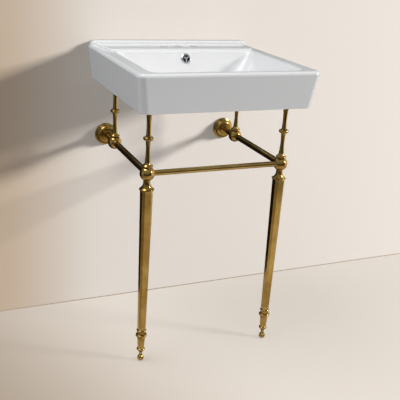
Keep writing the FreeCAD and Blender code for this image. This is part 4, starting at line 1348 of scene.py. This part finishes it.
@dataclass
class Studio:
    """The floor, the wall behind the sink, the lamps and the world."""

    wall_gap: float = 0.0005
    reach: float = 6.0
    world_high: Colour = linear("f3f6ff")
    world_low: Colour = linear("2f2a24")
    window: Colour = linear("fffaf2")
    seen_colour: Colour = linear("ece3da")
    world_level: float = 0.42
    window_level: float = 1.05
    bright_side: tuple[float, float, float] = (-0.15, -0.25, 0.9)
    bright_range: tuple[float, float] = (-0.1, 0.95)
    window_edge: tuple[float, float] = (0.70, 0.82)
    window_sill: tuple[float, float] = (-0.6, -0.45)

    def plane(self, name: str, corners: Sequence[Sequence[float]],
              paint: Finish) -> bpy.types.Object:
        """One flat piece of stage.

        Args:
            name: The piece's name.
            corners: Its corners in order.
            paint: Its finish.

        Returns:
            The piece.
        """
        mesh = bpy.data.meshes.new(name)
        mesh.from_pydata(corners, [], [tuple(range(len(corners)))])
        mesh.materials.append(paint.material())
        piece = bpy.data.objects.new(name, mesh)
        bpy.context.scene.collection.objects.link(piece)
        return piece

    def world(self) -> None:
        """A room lighter above and to the right; the camera sees a plain pale colour."""
        world = bpy.data.worlds.new("room")
        world.use_nodes = True
        world.node_tree.nodes.clear()
        sheet = Sheet(world.node_tree)
        camera = sheet.node("ShaderNodeLightPath", output="Is Camera Ray")
        x, y, z = sheet.split(sheet.node("ShaderNodeTexCoord", output="Generated"))
        across, along, up = self.bright_side
        light = (z * up + y * along + x * across).ramp(*self.bright_range)
        room = sheet.blend(light, self.world_low, self.world_high)
        beside = x.ramp(*self.window_edge) * z.ramp(*self.window_sill)

        def background(colour: Any, level: Number) -> Wire:
            """A plain background shader."""
            return sheet.node("ShaderNodeBackground", {},
                              {"Color": padded(colour), "Strength": level})

        def either(share: Wire, first: Wire, second: Wire) -> Wire:
            """The first shader at a share of zero, the second at one."""
            return sheet.node("ShaderNodeMixShader", {}, {0: share, 1: first, 2: second})

        lit = either(beside, background(room, self.world_level),
                     background(self.window, self.window_level))
        seen = either(camera, lit, background(self.seen_colour, 1.0))
        sheet.node("ShaderNodeOutputWorld", {}, {"Surface": seen})
        bpy.context.scene.world = world

    def build(self) -> None:
        """Make floor, wall, lamps and world."""
        r = self.reach
        self.plane("floor", [(-r, -r, 0), (r, -r, 0), (r, r, 0), (-r, r, 0)],
                   FloorPaint("floor_paint"))
        y = WALL_Y + self.wall_gap
        wall = self.plane("wall", [(-r, y, 0), (r, y, 0), (r, y, r), (-r, y, r)],
                          WallPaint("wall_paint"))
        for lamp in LAMPS:
            lamp.build(wall)
        self.world()
        log.info("studio: floor, wall, %d lamps", len(LAMPS))


@dataclass
class Camera:
    """The photograph's view: place, turn and focal length."""

    place: tuple[float, float, float] = (-0.81887, -1.85944, 1.20870)
    yaw: float = 24.54
    pitch: float = -20.70
    roll: float = 3.79
    focal_pixels: float = 693.65
    frame_pixels: float = 400.0
    sensor: float = 36.0
    far: float = 50.0

    def turn(self) -> Matrix:
        """Work out the camera's axes.

        Returns:
            Its right, up and backward axes as the columns of a matrix.
        """
        yaw, pitch, roll = (math.radians(a) for a in (self.yaw, self.pitch, self.roll))
        ahead = Vector((math.sin(yaw) * math.cos(pitch), math.cos(yaw) * math.cos(pitch),
                        math.sin(pitch)))
        right = Vector((math.cos(yaw), -math.sin(yaw), 0.0))
        up = right.cross(ahead)
        across = right * math.cos(roll) + up * math.sin(roll)
        upward = up * math.cos(roll) - right * math.sin(roll)
        return Matrix((across, upward, -ahead)).transposed()

    def build(self) -> None:
        """Make the camera and use it."""
        data = bpy.data.cameras.new("camera")
        data.sensor_fit = "HORIZONTAL"
        data.sensor_width = self.sensor
        data.lens = self.focal_pixels / self.frame_pixels * self.sensor
        data.clip_end = self.far
        camera = bpy.data.objects.new("camera", data)
        camera.matrix_world = Matrix.Translation(self.place) @ self.turn().to_4x4()
        bpy.context.scene.collection.objects.link(camera)
        bpy.context.scene.camera = camera
        log.info("camera: focal length %.2f mm", data.lens)


# ---- assembly


def main() -> None:
    """Build the sink and its stage in order."""
    logging.basicConfig(level=logging.INFO, format="%(message)s")
    Camera().build()
    Basin().build()
    Stand().build()
    for side in SIDES:
        Leg(side).build()
        Foot(side).build()
    Fasteners().build()
    Studio().build()
    bpy.context.scene.view_settings.view_transform = "Standard"


if __name__ == "__main__":
    main()
